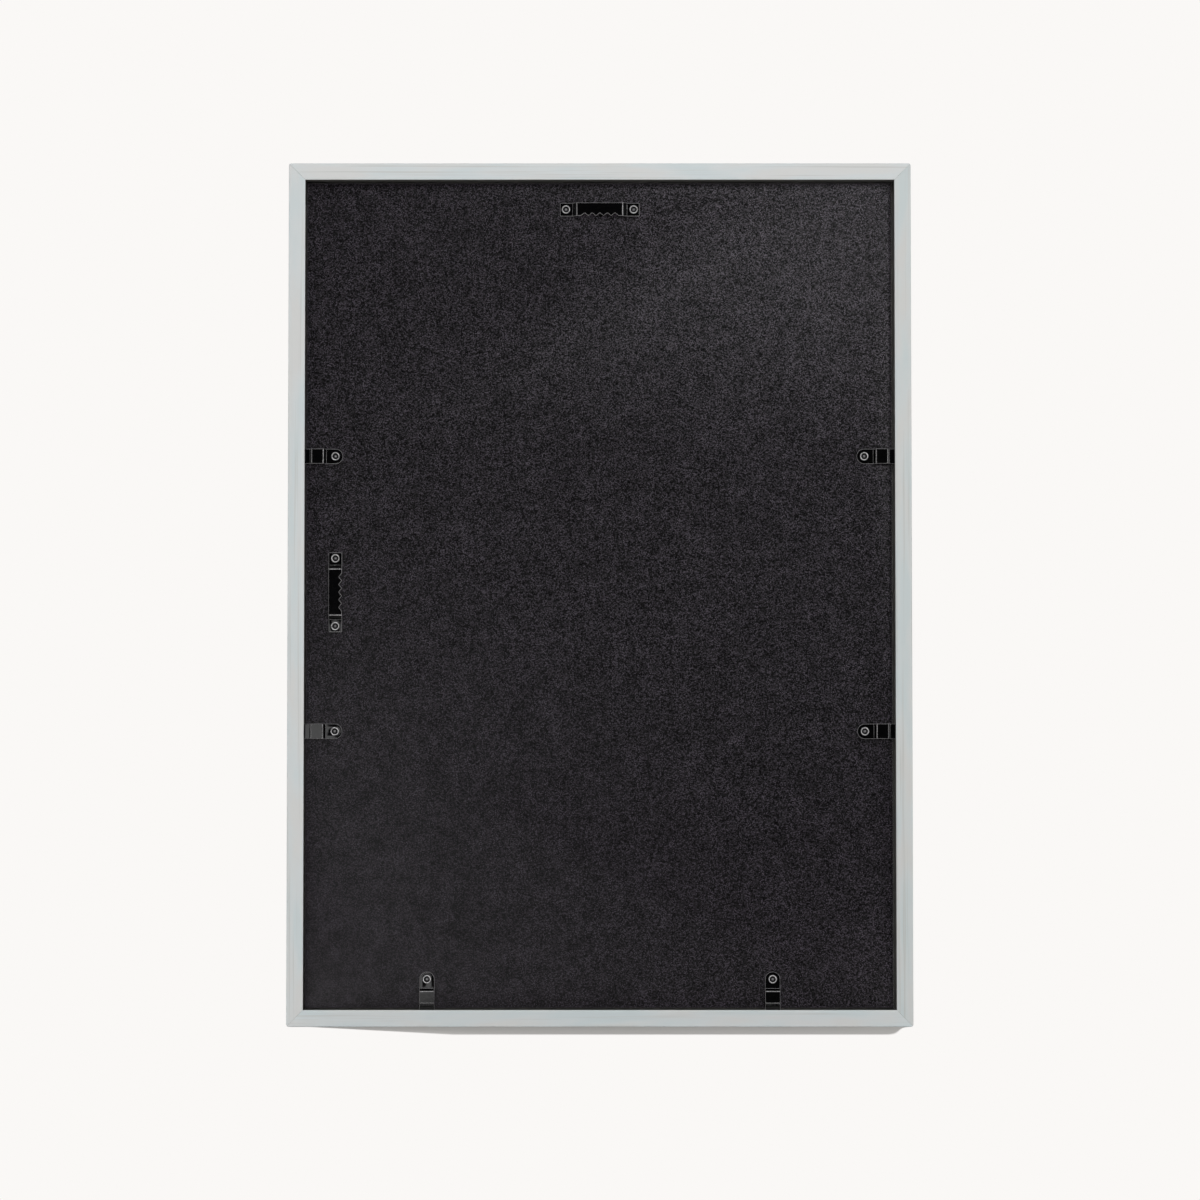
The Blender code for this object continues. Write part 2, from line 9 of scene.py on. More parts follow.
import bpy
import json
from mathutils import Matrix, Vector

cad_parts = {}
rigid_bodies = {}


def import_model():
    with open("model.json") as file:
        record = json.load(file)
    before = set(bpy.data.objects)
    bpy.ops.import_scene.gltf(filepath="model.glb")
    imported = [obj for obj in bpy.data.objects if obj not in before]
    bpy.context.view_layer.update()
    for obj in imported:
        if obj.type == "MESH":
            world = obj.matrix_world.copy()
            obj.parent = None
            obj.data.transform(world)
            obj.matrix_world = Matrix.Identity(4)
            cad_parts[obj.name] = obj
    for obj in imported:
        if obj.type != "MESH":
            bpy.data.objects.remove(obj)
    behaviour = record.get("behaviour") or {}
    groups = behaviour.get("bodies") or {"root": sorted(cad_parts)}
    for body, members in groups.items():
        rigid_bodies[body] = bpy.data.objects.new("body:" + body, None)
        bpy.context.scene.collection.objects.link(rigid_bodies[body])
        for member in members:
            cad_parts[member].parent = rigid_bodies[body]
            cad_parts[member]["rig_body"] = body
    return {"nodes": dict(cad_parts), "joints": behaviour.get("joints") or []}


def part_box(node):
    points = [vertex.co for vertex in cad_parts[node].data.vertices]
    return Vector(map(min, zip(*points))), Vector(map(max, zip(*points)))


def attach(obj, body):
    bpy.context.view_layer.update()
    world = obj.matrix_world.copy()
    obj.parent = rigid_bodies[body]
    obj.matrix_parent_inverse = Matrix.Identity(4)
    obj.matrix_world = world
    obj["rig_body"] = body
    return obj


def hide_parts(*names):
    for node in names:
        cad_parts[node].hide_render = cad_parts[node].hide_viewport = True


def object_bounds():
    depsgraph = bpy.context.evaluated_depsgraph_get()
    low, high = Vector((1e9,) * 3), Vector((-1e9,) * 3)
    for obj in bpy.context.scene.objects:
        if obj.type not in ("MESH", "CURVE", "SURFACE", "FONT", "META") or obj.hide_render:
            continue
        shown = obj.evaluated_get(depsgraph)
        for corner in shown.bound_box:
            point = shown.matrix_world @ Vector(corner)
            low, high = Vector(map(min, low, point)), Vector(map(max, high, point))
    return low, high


bl_info = {
    "name": "Picture Frame Looks",
    "version": (1, 0, 0),
    "blender": (4, 5, 0),
    "location": "View3D > Sidebar > Picture Frame",
    "description": "Dresses a packed picture frame with its paint, papered board and steel",
    "category": "Object",
}

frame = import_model()

import json
import math
from functools import partial

import bmesh
import bpy
from bpy.props import FloatProperty, FloatVectorProperty, IntProperty, PointerProperty
from mathutils import Matrix, Vector

MM = 0.001
CAD_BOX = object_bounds()
FRAME_LOW, FRAME_HIGH = CAD_BOX
FRAME_WIDTH = FRAME_HIGH.x - FRAME_LOW.x
FRAME_HEIGHT = FRAME_HIGH.z - FRAME_LOW.z
FRAME_DEPTH = FRAME_HIGH.y - FRAME_LOW.y
FRAME_MIDDLE = (FRAME_LOW + FRAME_HIGH) / 2
BOARD_LOW, BOARD_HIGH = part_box("backing_board")
BOARD_THICKNESS = BOARD_HIGH.y - BOARD_LOW.y

RAILS = {"rail_bottom": 0, "rail_right": 90, "rail_top": 180, "rail_left": 270}
RAIL_TONES = {"rail_bottom": 0.0, "rail_right": 0.6, "rail_top": 0.0, "rail_left": 0.15}
HANGERS = {"sawtooth_hanger_top": 0, "sawtooth_hanger_side": 90}
CLIP_TURNS = {"left": 180, "right": 0, "bottom": 270}
SMOOTH_ANGLE = math.radians(35)
STRAIGHT_ANGLE = 0.01
WELD = 0.001 * MM
PHOTO_SIZE = 1200
FLOOR_RADIUS = 5.0
RAIL_ROWS = 48
RIVET_STEPS = 40
BEND_SHOULDER = 0.03 * MM

# Shares of a rail corner's radius at which its faces are cut, so that they can bend round it
CORNER_CUTS = (1, 0.7, 0.4, 0.15)

# Where along the grain's pattern the first stick lies, and how much further each next one lies
FIRST_GRAIN = 0.4
GRAIN_STEP = 1.7


def linear(code):
    """Linear red, green and blue of an sRGB hex colour."""
    parts = [int(code[place:place + 2], 16) / 255 for place in (1, 3, 5)]
    return [part / 12.92 if part <= 0.04045 else ((part + 0.055) / 1.055) ** 2.4
            for part in parts]


def length(name, description, millimetres):
    """Setting for a length, with its default in millimetres."""
    return FloatProperty(name=name, description=description, default=millimetres * MM,
                         min=0, precision=5, unit="LENGTH")


def number(name, description, default, **unit):
    """Setting for a plain number, with its unit or subtype where one fits."""
    return FloatProperty(name=name, description=description, default=default, **unit)


def colour(name, description, code):
    """Setting for a colour, with its default as an sRGB hex code."""
    return FloatVectorProperty(name=name, description=description, default=linear(code),
                               min=0, max=1, size=3, subtype="COLOR")


# Settings

class RailSettings(bpy.types.PropertyGroup):
    """Sizes and colours of the four rails."""
    back_width: length("Back width", "Width of a rail's back face", 8.4)
    face_width: length("Face width", "Width of a rail's front face", 14.0)
    lip: length("Lip", "Thickness of the lip in front of the glazing", 5.0)
    kerf_depth: length("Kerf depth", "Depth of the saw cut that the clips turn into", 3.3)
    kerf_width: length("Kerf width", "Width of that saw cut", 1.8)
    kerf_back: length("Kerf back", "Height of the cut's back side over the board", 2.1)
    front_round: length("Front round", "Radius of the front arrises", 1.2)
    outer_round: length("Outer round", "Radius of the outer back arris", 0.4)
    inner_slope: length("Inner slope", "Width that sandpaper takes off the inner back arris", 0.7)
    inner_drop: length("Inner drop", "Depth that it takes off there", 0.2)
    corner_round: length("Corner round", "Radius of the sanded outer corners in plan", 1.3)
    mitre_gap: length("Mitre gap", "Paint crease that is left over each glued mitre", 0.06)
    paint: colour("Paint", "Satin wall paint", "#D3D9DB")
    grain_line: colour("Grain line", "Paint sunk into the darker late wood", "#C2C5C3")
    cool_patch: colour("Cool patch", "Thin patches where the paint reads cooler", "#CDD7DA")
    warm_patch: colour("Warm patch", "Thin patches where the wood warms the paint", "#D5D7D7")
    # Painted shade: dark colour of the rebate's walls and the saw cut, standing in for their shade
    rebate: colour("Rebate", "Dark stain inside the rebate and the saw cut", "#5A5856")
    darker_stick: colour("Darker stick", "Tone of the stick that took the thin paint darkest",
                         "#F3F3F1")


class BoardSettings(bpy.types.PropertyGroup):
    """Sizes and colours of the backing board."""
    edge_round: length("Edge round", "Radius that the paper takes over the board's edges", 0.3)
    grain_size: length("Grain size", "Size of one pebble of the embossed paper", 0.55)
    # Painted highlight: width of the paler line along the board's edges
    edge_highlight_width: length("Rubbed edge", "Width of the rubbed line along the board's edges", 0.7)
    valley: colour("Valley", "Colour between the pebbles", "#020203")
    pebble: colour("Pebble", "Colour of the embossed paper", "#0F0B11")
    # Painted glint: pale colour of the highest pebbles, standing in for light on their crowns
    rubbed: colour("Rubbed pebble", "Colour of the highest, rubbed pebbles", "#473C4E")
    # Painted highlight: colour of the paler line along the board's edges
    edge_highlight: colour("Rubbed line", "Colour of the rubbed edges", "#3A373B")


class HangerSettings(bpy.types.PropertyGroup):
    """Sizes of the two sawtooth hangers."""
    sheet: length("Sheet", "Thickness of the sheet steel", 0.8)
    foot: length("Foot", "Length of each riveted foot", 6.55)
    rise_run: length("Rise run", "Run of each riser between foot and plate", 2.1)
    bend: length("Bend radius", "Radius of the bends", 0.6)
    corner: length("Corner radius", "Radius of the sheet's corners", 0.5)
    edge_round: length("Edge round", "Roundness of the blanked edges under their enamel", 0.34)
    notches: IntProperty(name="Notches", description="Notches along the plate", default=5, min=1)
    notch_depth: length("Notch depth", "Depth of a notch", 1.5)
    notch_round: length("Notch round", "Radius in and between the notches", 0.35)
    rivet_edge: length("Rivet edge", "Distance of a rivet from the hanger's end", 3.0)
    rivet_hole: length("Rivet hole", "Radius of the hole for a rivet", 1.8)


class ClipSettings(bpy.types.PropertyGroup):
    """Sizes of the turn clips."""
    sheet: length("Sheet", "Thickness of the spring steel", 0.6)
    foot: length("Foot", "Distance from the rivet to the first bend", 4.8)
    rise_run: length("Rise run", "Run of the riser", 1.4)
    lift: length("Bridge lift", "Rise of the bridge over the foot", 2.1)
    step_start: length("Step start", "Distance from the rivet to the step", 12.0)
    step_run: length("Step run", "Run of the step down to the tip", 0.7)
    tip_lift: length("Tip lift", "Rise of the tip over the foot", 0.9)
    tip_round: length("Tip round", "Radius of the tip's corners", 0.8)
    bend: length("Bend radius", "Radius of the bends", 0.5)
    edge_round: length("Edge round", "Roundness of the blanked edges under their enamel", 0.27)
    rivet_hole: length("Rivet hole", "Radius of the hole for the rivet", 1.8)


class EnamelSettings(bpy.types.PropertyGroup):
    """Finish of the hangers and clips."""
    enamel: colour("Enamel", "Gloss black stoving enamel", "#030304")
    bare_edge: colour("Bare edge", "Steel that shows where enamel is thin over an edge", "#CFCED1")
    # Painted highlight: bare steel painted along the bends, where they catch the light
    bend_highlight: number("Bend wear", "How far the bends have lost enamel", 0.18, min=0, max=1)


class RivetSettings(bpy.types.PropertyGroup):
    """Sizes and colours of the rivets."""
    shank: length("Shank radius", "Radius of the tubular shank", 1.5)
    wall: length("Wall", "Wall of the tubular end", 0.12)
    roll: length("Roll", "How far the rolled rim stands out from the shank", 0.72)
    bore: length("Bore depth", "Depth of the bore under the rim", 0.9)
    dome: length("Dome", "Height of the dome in the bore", 0.55)
    dome_radius: length("Dome radius", "Radius of the dome in the bore", 0.92)
    head: length("Head radius", "Radius of the head in front of the board", 3.0)
    head_thickness: length("Head thickness", "Thickness of that head", 0.6)
    unevenness: length("Unevenness", "How far the setting tool leaves a rim out of true", 0.14)
    steel: colour("Steel", "Zinc-plated steel", "#F1F0F2")
    # Real dulled plating, and also the painted shade on the rim's flanks and the dome's edge
    grime_and_shade: colour("Grime", "Plating that is dulled by oil and dust", "#5E5D60")
    # Painted shade: near black in the groove round the dome
    groove: colour("Groove", "Oil and dust in the groove round the dome", "#0C0B0C")


class SheetSettings(bpy.types.PropertyGroup):
    """Colours of the glazing, the blank sheet and the V-nails."""
    acrylic: colour("Acrylic", "Clear acrylic", "#FAFBFA")
    paper: colour("Paper", "Blank uncoated paper", "#EBE9E4")
    fibre: colour("Fibre", "Paper between its fibres", "#DEDBD4")
    strip: colour("Strip", "Cold-rolled strip of the V-nails", "#9C9B9B")


class StageSettings(bpy.types.PropertyGroup):
    """Camera, lamps and floor."""
    distance: number("Distance", "From the camera to the frame's middle", 2.83, unit="LENGTH")
    elevation: number("Elevation", "Camera angle over the horizon", math.radians(-3.43),
                      subtype="ANGLE")
    lens: number("Lens", "Focal length in millimetres", 167.4)
    middle_x: number("Middle X", "Pixel column of the frame's middle", 599.8)
    middle_y: number("Middle Y", "Pixel row of the frame's middle", 593.0)
    backdrop: colour("Backdrop", "Pale paper of the floor and backdrop", "#FAF8F6")
    # Painted shadow: darker paper in a shaped pool round the frame, and how far that pool reaches
    floor: colour("Lit floor", "The same paper where the frame stands in its own shade", "#D6D5D3")
    shade: number("Shade", "How far the frame's own shade reaches out", 0.241, unit="LENGTH")
    key_power: number("Key power", "Softbox at the upper right, in watts", 15)
    top_power: number("Top power", "Softbox overhead, in watts", 6)
    low_power: number("Low power", "Softbox at the lower left, in watts", 0.45)
    front_power: number("Front power", "Softbox in front, in watts", 30)
    sky: number("Sky", "Level of the light from all round", 0.208)
    panels: number("Panels", "How much brighter it is behind and in front", 9.0)
    belt: number("Belt", "How much brighter it is above and beside", 2.0)


# Helpers

def fill(node, inputs):
    """Fill a node's inputs with values or links, by name or in the order of those in use.

    A colour gets its alpha here.
    """
    in_use = [socket for socket in node.inputs if socket.enabled]
    for key, value in inputs.items() if isinstance(inputs, dict) else enumerate(inputs):
        socket = node.inputs[key] if isinstance(key, str) else in_use[key]
        if isinstance(value, bpy.types.NodeSocket):
            node.id_data.links.new(value, socket)
        else:
            socket.default_value = (*value, 1) if socket.type == "RGBA" else value


def add_node(tree, kind, inputs=(), operation=None, output=None, steps=(), **settings):
    """Add a node with its settings and links, and give its first output in use or a named one.

    A kind without a prefix is a shader's. The inputs' order is value, from min, from max, to min
    and to max in Map Range, factor and both sides in Mix, and vector, scale, detail and roughness
    in Noise. Steps are the places and colours of a colour ramp.
    """
    node = tree.nodes.new(kind if "Node" in kind else "ShaderNode" + kind)
    if operation:
        node.operation = operation
    for name, value in settings.items():
        setattr(node, name, value)
    for index, (place, rgb) in enumerate(steps):
        stops = node.color_ramp.elements
        stop = stops[index] if index < 2 else stops.new(place)
        stop.position, stop.color = place, (*rgb, 1)
    fill(node, inputs)
    if output:
        return node.outputs[output]
    return next((socket for socket in node.outputs if socket.enabled), None)


def per_size(*millimetres):
    """Mapping scale at which a pattern has this size, in millimetres, along each axis."""
    return [1 / (size * MM) for size in millimetres]


def new_material(name):
    """Material, the function that adds its nodes, and its Principled shader."""
    material = bpy.data.materials.new(name)
    material.use_nodes = True
    tree = material.node_tree
    return material, partial(add_node, tree), tree.nodes["Principled BSDF"]


def arc_corner(before, corner, after, radius, steps=6):
    """Points of an arc that rounds one corner of an outline."""
    corner = Vector(corner)
    to_before = (Vector(before) - corner).normalized()
    to_after = (Vector(after) - corner).normalized()
    half_angle = to_before.angle(to_after) / 2
    centre = corner + (to_before + to_after).normalized() * radius / math.sin(half_angle)
    start = corner + to_before * radius / math.tan(half_angle) - centre
    end = corner + to_after * radius / math.tan(half_angle) - centre
    turn = start.angle_signed(end)
    return [centre + Matrix.Rotation(-turn * step / steps, 2) @ start for step in range(steps + 1)]


def rounded(corners, closed=True):
    """Outline from corners given as x, y and radius."""
    places = [corner[:2] for corner in corners]
    outline = []
    for index, (x, y, radius) in enumerate(corners):
        is_end = not closed and index in (0, len(corners) - 1)
        if radius == 0 or is_end:
            outline.append(Vector((x, y)))
        else:
            after = places[(index + 1) % len(places)]
            outline += arc_corner(places[index - 1], (x, y), after, radius)
    return [point for index, point in enumerate(outline)
            if not closed or (point - outline[index - 1]).length > WELD]


def circle(centre, radius, steps=48):
    """Outline of a hole, run the other way round from the outlines."""
    return [Vector((centre + radius * math.cos(step * math.tau / steps),
                    -radius * math.sin(step * math.tau / steps))) for step in range(steps)]


def add_spline(curve, outline, closed=True):
    """Add one straight-sided spline to a curve."""
    spline = curve.splines.new("POLY")
    spline.points.add(len(outline) - 1)
    for point, place in zip(spline.points, outline):
        point.co = (place[0], place[1], 0, 1)
    spline.use_cyclic_u = closed


def linked(name, data):
    """Object with this data, in the scene."""
    made = bpy.data.objects.new(name, data)
    bpy.context.scene.collection.objects.link(made)
    return made


def plain_mesh(shape):
    """Turn an object into the plain mesh that it shows, and remove the object."""
    graph = bpy.context.evaluated_depsgraph_get()
    mesh = bpy.data.meshes.new_from_object(shape.evaluated_get(graph))
    bpy.data.objects.remove(shape, do_unlink=True)
    bm = bmesh.new()
    bm.from_mesh(mesh)
    bmesh.ops.remove_doubles(bm, verts=bm.verts, dist=WELD)
    bmesh.ops.recalc_face_normals(bm, faces=bm.faces)
    bm.to_mesh(mesh)
    bm.free()
    return mesh


def dress(name, mesh, material, nodes):
    """Put a finished mesh into the scene in place of its packed nodes."""
    mesh.name = name
    mesh.materials.clear()
    mesh.materials.append(material)
    mesh.shade_smooth()
    mesh.set_sharp_from_angle(angle=SMOOTH_ANGLE)
    piece = linked(name, mesh)
    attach(piece, frame["nodes"][nodes[0]]["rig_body"])
    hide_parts(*nodes)
    return piece


def repaint(node, material):
    """Give a packed node whose shape is right its finished material."""
    piece = frame["nodes"][node]
    piece.data.materials.clear()
    piece.data.materials.append(material)


def back_view(place, degrees):
    """Placement on the back of the frame: x right, y up and z towards the wall, then turned."""
    stand = Matrix.Rotation(math.pi / 2, 4, "X")
    turn = Matrix.Rotation(math.radians(degrees), 4, "Z")
    return Matrix.Translation(place) @ stand @ turn


# Geometry Nodes

def new_tree(name, sockets):
    """Geometry node tree with named inputs, the function that adds its nodes, and its inputs."""
    tree = bpy.data.node_groups.new(name, "GeometryNodeTree")
    tree.interface.new_socket("Geometry", in_out="OUTPUT", socket_type="NodeSocketGeometry")
    for label, kind in {"Geometry": "Geometry", **sockets}.items():
        tree.interface.new_socket(label, in_out="INPUT", socket_type=f"NodeSocket{kind}")
    return tree, partial(add_node, tree), add_node(tree, "NodeGroupInput").node.outputs


def close_tree(tree, geometry, material):
    """End a tree: instances made real, material set, and the result sent out."""
    real = add_node(tree, "GeometryNodeRealizeInstances", [geometry])
    finish = add_node(tree, "GeometryNodeSetMaterial", {"Geometry": real, "Material": material})
    add_node(tree, "NodeGroupOutput", [finish])
    return tree


def grown(tree, host_mesh, values):
    """Plain mesh that a tree makes from a host mesh and named input values."""
    host = linked("host", host_mesh)
    modifier = host.modifiers.new("grow", "NODES")
    modifier.node_group = tree
    for item in tree.interface.items_tree:
        if item.in_out == "INPUT" and item.name in values:
            modifier[item.identifier] = values[item.name]
    return plain_mesh(host)


def rail_tree():
    """Sweep a section along a straight line and slope both ends to a mitre.

    The section has x from the outer face inwards and y from the front face backwards, both
    negated, because a sweep turns them over. The swept rail lies along x.
    """
    tree, add, given = new_tree("mitred_rail", {
        "Section": "Object", "Half Length": "Float", "Rows": "Int", "Mitre Gap": "Float",
        "Grain Start": "Float", "Tone": "Float", "Material": "Material"})
    half = given["Half Length"]
    end = add("CombineXYZ", [half])
    start = add("VectorMath", (end, -1.0), "SCALE")
    line = add("GeometryNodeCurvePrimitiveLine", {"Start": start, "End": end})
    path = add("GeometryNodeResampleCurve", {"Curve": line, "Count": given["Rows"]})
    section = add("GeometryNodeObjectInfo", [given["Section"]], output="Geometry")
    swept = add("GeometryNodeCurveToMesh", {
        "Curve": path, "Profile Curve": section, "Fill Caps": True})

    # The piece's own coordinates, kept for the grain: along, inwards and backwards
    place = add("GeometryNodeInputPosition")
    shift = add("CombineXYZ", [given["Grain Start"]])
    grain = add("VectorMath", (place, shift), "ADD")
    kept = add("GeometryNodeStoreNamedAttribute", {
        "Geometry": swept, "Name": "grain", "Value": grain}, data_type="FLOAT_VECTOR")
    toned = add("GeometryNodeStoreNamedAttribute", {
        "Geometry": kept, "Name": "tone", "Value": given["Tone"]}, data_type="FLOAT")

    # A point moves to its share of the half length that is left at its distance from outside
    outwards = add("SeparateXYZ", [place], output="Y")
    setback = add("Math", (given["Mitre Gap"], math.sqrt(0.5), outwards), "MULTIPLY_ADD")
    left_over = add("Math", (half, setback), "SUBTRACT")
    share = add("Math", (left_over, half), "DIVIDE")
    sloped = add("CombineXYZ", (share, 1.0, 1.0))
    moved = add("VectorMath", (place, sloped), "MULTIPLY")
    mitred = add("GeometryNodeSetPosition", {"Geometry": toned, "Position": moved})
    return close_tree(tree, mitred, given["Material"])


def rivet_tree():
    """Turn a half section into a rivet, and set one, a little out of true, on every point."""
    tree, add, given = new_tree("rolled_rivets", {
        "Section": "Object", "Steps": "Int", "Spin Radius": "Float", "Unevenness": "Float",
        "Seed": "Int", "Material": "Material"})
    section = add("GeometryNodeObjectInfo", [given["Section"]], output="Geometry")
    ring = add("GeometryNodeCurvePrimitiveCircle", {
        "Resolution": given["Steps"], "Radius": given["Spin Radius"]})
    turned = add("GeometryNodeCurveToMesh", {"Curve": ring, "Profile Curve": section})
    closed = add("GeometryNodeMergeByDistance", {"Geometry": turned, "Distance": WELD})

    # The radius is kept, so that the material can paint shade on the rim's flanks and in the
    # groove, and a highlight on the dome
    place = add("GeometryNodeInputPosition")
    flat = add("VectorMath", (place, (1, 1, 0)), "MULTIPLY")
    radius = add("VectorMath", [flat], "LENGTH")
    kept = add("GeometryNodeStoreNamedAttribute", {
        "Geometry": closed, "Name": "radius", "Value": radius}, data_type="FLOAT")
    spin = add("FunctionNodeRandomValue", {
        "Min": (0, 0, 0), "Max": (0, 0, math.tau), "Seed": given["Seed"]},
        data_type="FLOAT_VECTOR")
    placed = add("GeometryNodeInstanceOnPoints", {
        "Points": given["Geometry"], "Instance": kept, "Rotation": spin})
    real = add("GeometryNodeRealizeInstances", [placed])

    # Only what stands behind the board is out of true, so the head stays flat in its hole
    waves = add("TexNoise", (place, 1 / (1.6 * MM), 1.0), output="Color")
    centred = add("VectorMath", (waves, (0.5, 0.5, 0.5)), "SUBTRACT")
    push = add("VectorMath", (centred, given["Unevenness"]), "SCALE")
    height = add("SeparateXYZ", [place], output="Z")
    behind = add("FunctionNodeCompare", (height, 0.0), "GREATER_THAN")
    uneven = add("GeometryNodeSetPosition", {
        "Geometry": real, "Selection": behind, "Offset": push})
    return close_tree(tree, uneven, given["Material"])


# Materials

def satin_painted_wood(look):
    """Softwood moulding, sanded and sprayed with one coat of satin paint.

    The coat is thin, so the late wood shows as faint darker lines along each rail, the colour
    drifts a little between cooler and warmer, and fine ridges of grain stand up in the sheen.
    """
    material, add, shader = new_material("satin_painted_wood")
    grain = add("Attribute", output="Vector", attribute_name="grain")

    # Late wood: lines a millimetre wide and some 100 mm long, slanting across the rail. Only
    # the top of the noise makes one, and paint still hides a quarter of it.
    slanted = add("Mapping", {
        "Vector": grain, "Rotation": (0, 0, math.radians(0.35)), "Scale": per_size(95, 1.3, 3)})
    lines = add("TexNoise", (slanted, 1.0, 3.0))
    line_share = add("MapRange", (lines, 0.57, 0.72, 0.0, 0.75))

    # Cool and warm patches: the coat's thickness drifts over 40 mm
    stretched = add("Mapping", {"Vector": grain, "Scale": per_size(42, 9, 9)})
    drift = add("TexNoise", (stretched, 1.0))
    coat = add("ValToRGB", [drift], steps=[
        (0.36, look.cool_patch), (0.5, look.paint), (0.64, look.warm_patch)])
    streaked = add("Mix", (line_share, coat, look.grain_line), data_type="RGBA")
    tone = add("Attribute", output="Fac", attribute_name="tone")
    toned = add("Mix", (tone, streaked, look.darker_stick),
                data_type="RGBA", blend_type="MULTIPLY")

    # Painted shade: the rebate is painted dark from behind the lip to just under the back arris,
    # where its walls and the saw cut lie in shade
    split = add("SeparateXYZ", [grain]).node.outputs
    kerf_bottom = look.back_width - look.kerf_depth
    arris = FRAME_DEPTH - look.inner_drop
    inside = add("Math", (split["Y"], kerf_bottom - 0.1 * MM), "GREATER_THAN")
    behind_lip = add("Math", (split["Z"], look.lip - 0.05 * MM), "GREATER_THAN")
    below_arris = add("MapRange", (split["Z"], arris - 0.25 * MM, arris, 1.0, 0.0))
    in_rebate = add("Math", (inside, behind_lip), "MULTIPLY")
    rebate_shade_mask = add("Math", (in_rebate, below_arris), "MULTIPLY")
    shade = add("Mix", (rebate_shade_mask, toned, look.rebate), data_type="RGBA")

    # Fine ridges of the early wood and the spray's own texture, 0.03 mm high together
    drawn_out = add("Mapping", {"Vector": grain, "Scale": per_size(18, 0.45, 0.45)})
    ridges = add("TexNoise", (drawn_out, 1.0, 4.0))
    spray = add("TexNoise", (grain, 1 / (0.9 * MM)))
    height = add("Math", (spray, 0.35, ridges), "MULTIPLY_ADD")
    bump = add("Bump", {"Height": height, "Distance": 0.03 * MM})
    fill(shader, {"Base Color": shade, "IOR": 1.48, "Roughness": 0.5, "Normal": bump})
    return material


def pebbled_black_paper(look):
    """Fibreboard laminated with black paper, embossed between rollers with a leather grain.

    The pebbles catch the light on their crowns, which are also painted paler as a painted
    glint, and the valleys between them stay nearly black.
    """
    material, add, shader = new_material("pebbled_black_paper")
    place = add("TexCoord", output="Object")
    cells = add("TexVoronoi", (place, 1 / look.grain_size)).node.outputs
    height = add("SeparateColor", [cells["Color"]])
    slope = add("MapRange", (cells["Distance"], 0.15, 0.75, 1.0, 0.3))
    pebbles = add("Math", (height, slope), "MULTIPLY")

    # Pebbles are flattest at the lower left, so the painted glints on their crowns fade there.
    # A flat pebble has the height 0.37, which keeps the paper as dark as it is elsewhere.
    from_corner = add("VectorMath", (place, BOARD_LOW), "DISTANCE")
    pebble_relief = add("MapRange", (from_corner, 20 * MM, 240 * MM, 0.2, 0.82))
    crown = add("Mix", (pebble_relief, 0.37, pebbles))

    # Patches a few millimetres across took the black a little more or less
    cloud = add("TexNoise", (place, 1 / (7 * MM), 3.0))
    clouded = add("MapRange", (cloud, 0.3, 0.7, 0.87, 1.13))
    clouds = add("Math", (crown, clouded), "MULTIPLY")

    # Painted light: the paper is painted up to 18 % paler towards its upper right corner, where
    # the light falls strongest
    lit_corner = (BOARD_HIGH.x, BOARD_LOW.y, BOARD_HIGH.z)
    from_lit_corner = add("VectorMath", (place, lit_corner), "DISTANCE")
    painted_light_corner = add("MapRange", (from_lit_corner, 30 * MM, 200 * MM, 1.18, 1.0))
    tinted = add("Math", (clouds, painted_light_corner), "MULTIPLY")
    # Painted glint: the highest crowns get the pale colour, the valleys the darkest
    speckled = add("ValToRGB", [tinted], steps=[
        (0.05, look.valley), (0.3, look.pebble), (0.85, look.rubbed)])
    glint = add("MapRange", (tinted, 0.0, 1.0, 0.02, 1.6))
    polish = add("MapRange", (crown, 0.0, 1.0, 0.45, 0.28))

    # Along its edges the paper is painted paler: a painted highlight on its rounded edges
    from_middle = add("VectorMath", (place, (BOARD_LOW + BOARD_HIGH) / 2), "SUBTRACT")
    outward = add("VectorMath", [from_middle], "ABSOLUTE")
    flat_area = (BOARD_HIGH - BOARD_LOW) / 2 - Vector((look.edge_highlight_width, 0, look.edge_highlight_width))
    over = add("VectorMath", (outward, flat_area), "SUBTRACT")
    sides = add("SeparateXYZ", [over]).node.outputs
    nearest = add("Math", (sides["X"], sides["Z"]), "MAXIMUM")
    edge_highlight_share = add("MapRange", (nearest, 0.0, look.edge_highlight_width / 2, 0.0, 0.7))
    shade = add("Mix", (edge_highlight_share, speckled, look.edge_highlight), data_type="RGBA")
    bump = add("Bump", {"Height": crown, "Distance": 0.12 * MM})
    fill(shader, {"Base Color": shade, "IOR": 1.4, "Roughness": polish,
                  "Specular IOR Level": glint, "Normal": bump})
    return material


def stoved_black_enamel(look):
    """Pressed steel dipped in black enamel and stoved.

    The surface is glossy, with the faint orange peel of a dipped coat. Enamel pulls away from
    the blanked edges, where bare steel shows through as a thin broken line. Along the bends the
    same bare steel is a painted highlight.
    """
    material, add, shader = new_material("stoved_black_enamel")
    place = add("TexCoord", output="Object")
    peel = add("TexNoise", (place, 1 / (1.4 * MM)))
    dust = add("TexNoise", (place, 1 / (0.5 * MM), 4.0))

    # The sheet keeps how far a point is over its edge: 0 on the flat and 1 on the cut side.
    # Steel is bare between the two, and dust in the coat breaks both borders. Bends are marked
    # part way over, so that bare steel paints a highlight along them.
    over_edge = add("Attribute", output="Fac", attribute_name="edge")
    broken = add("Math", (dust, 0.4, over_edge), "MULTIPLY_ADD")
    arris = add("MapRange", (broken, 0.3, 0.52))
    side = add("MapRange", (broken, 1.05, 1.2, 1.0, 0.0))
    bare = add("Math", (arris, side), "MULTIPLY")
    shade = add("Mix", (bare, look.enamel, look.bare_edge), data_type="RGBA")
    metal = add("Math", (bare, 0.65), "MULTIPLY")
    dulled = add("MapRange", (dust, 0.35, 0.75, 0.06, 0.13))
    gloss = add("Math", (bare, 0.22, dulled), "MULTIPLY_ADD")
    bump = add("Bump", {"Height": peel, "Distance": 0.005 * MM})
    fill(shader, {"Base Color": shade, "Metallic": metal, "Roughness": gloss, "IOR": 1.52,
                  "Specular IOR Level": 0.4, "Normal": bump})
    return material


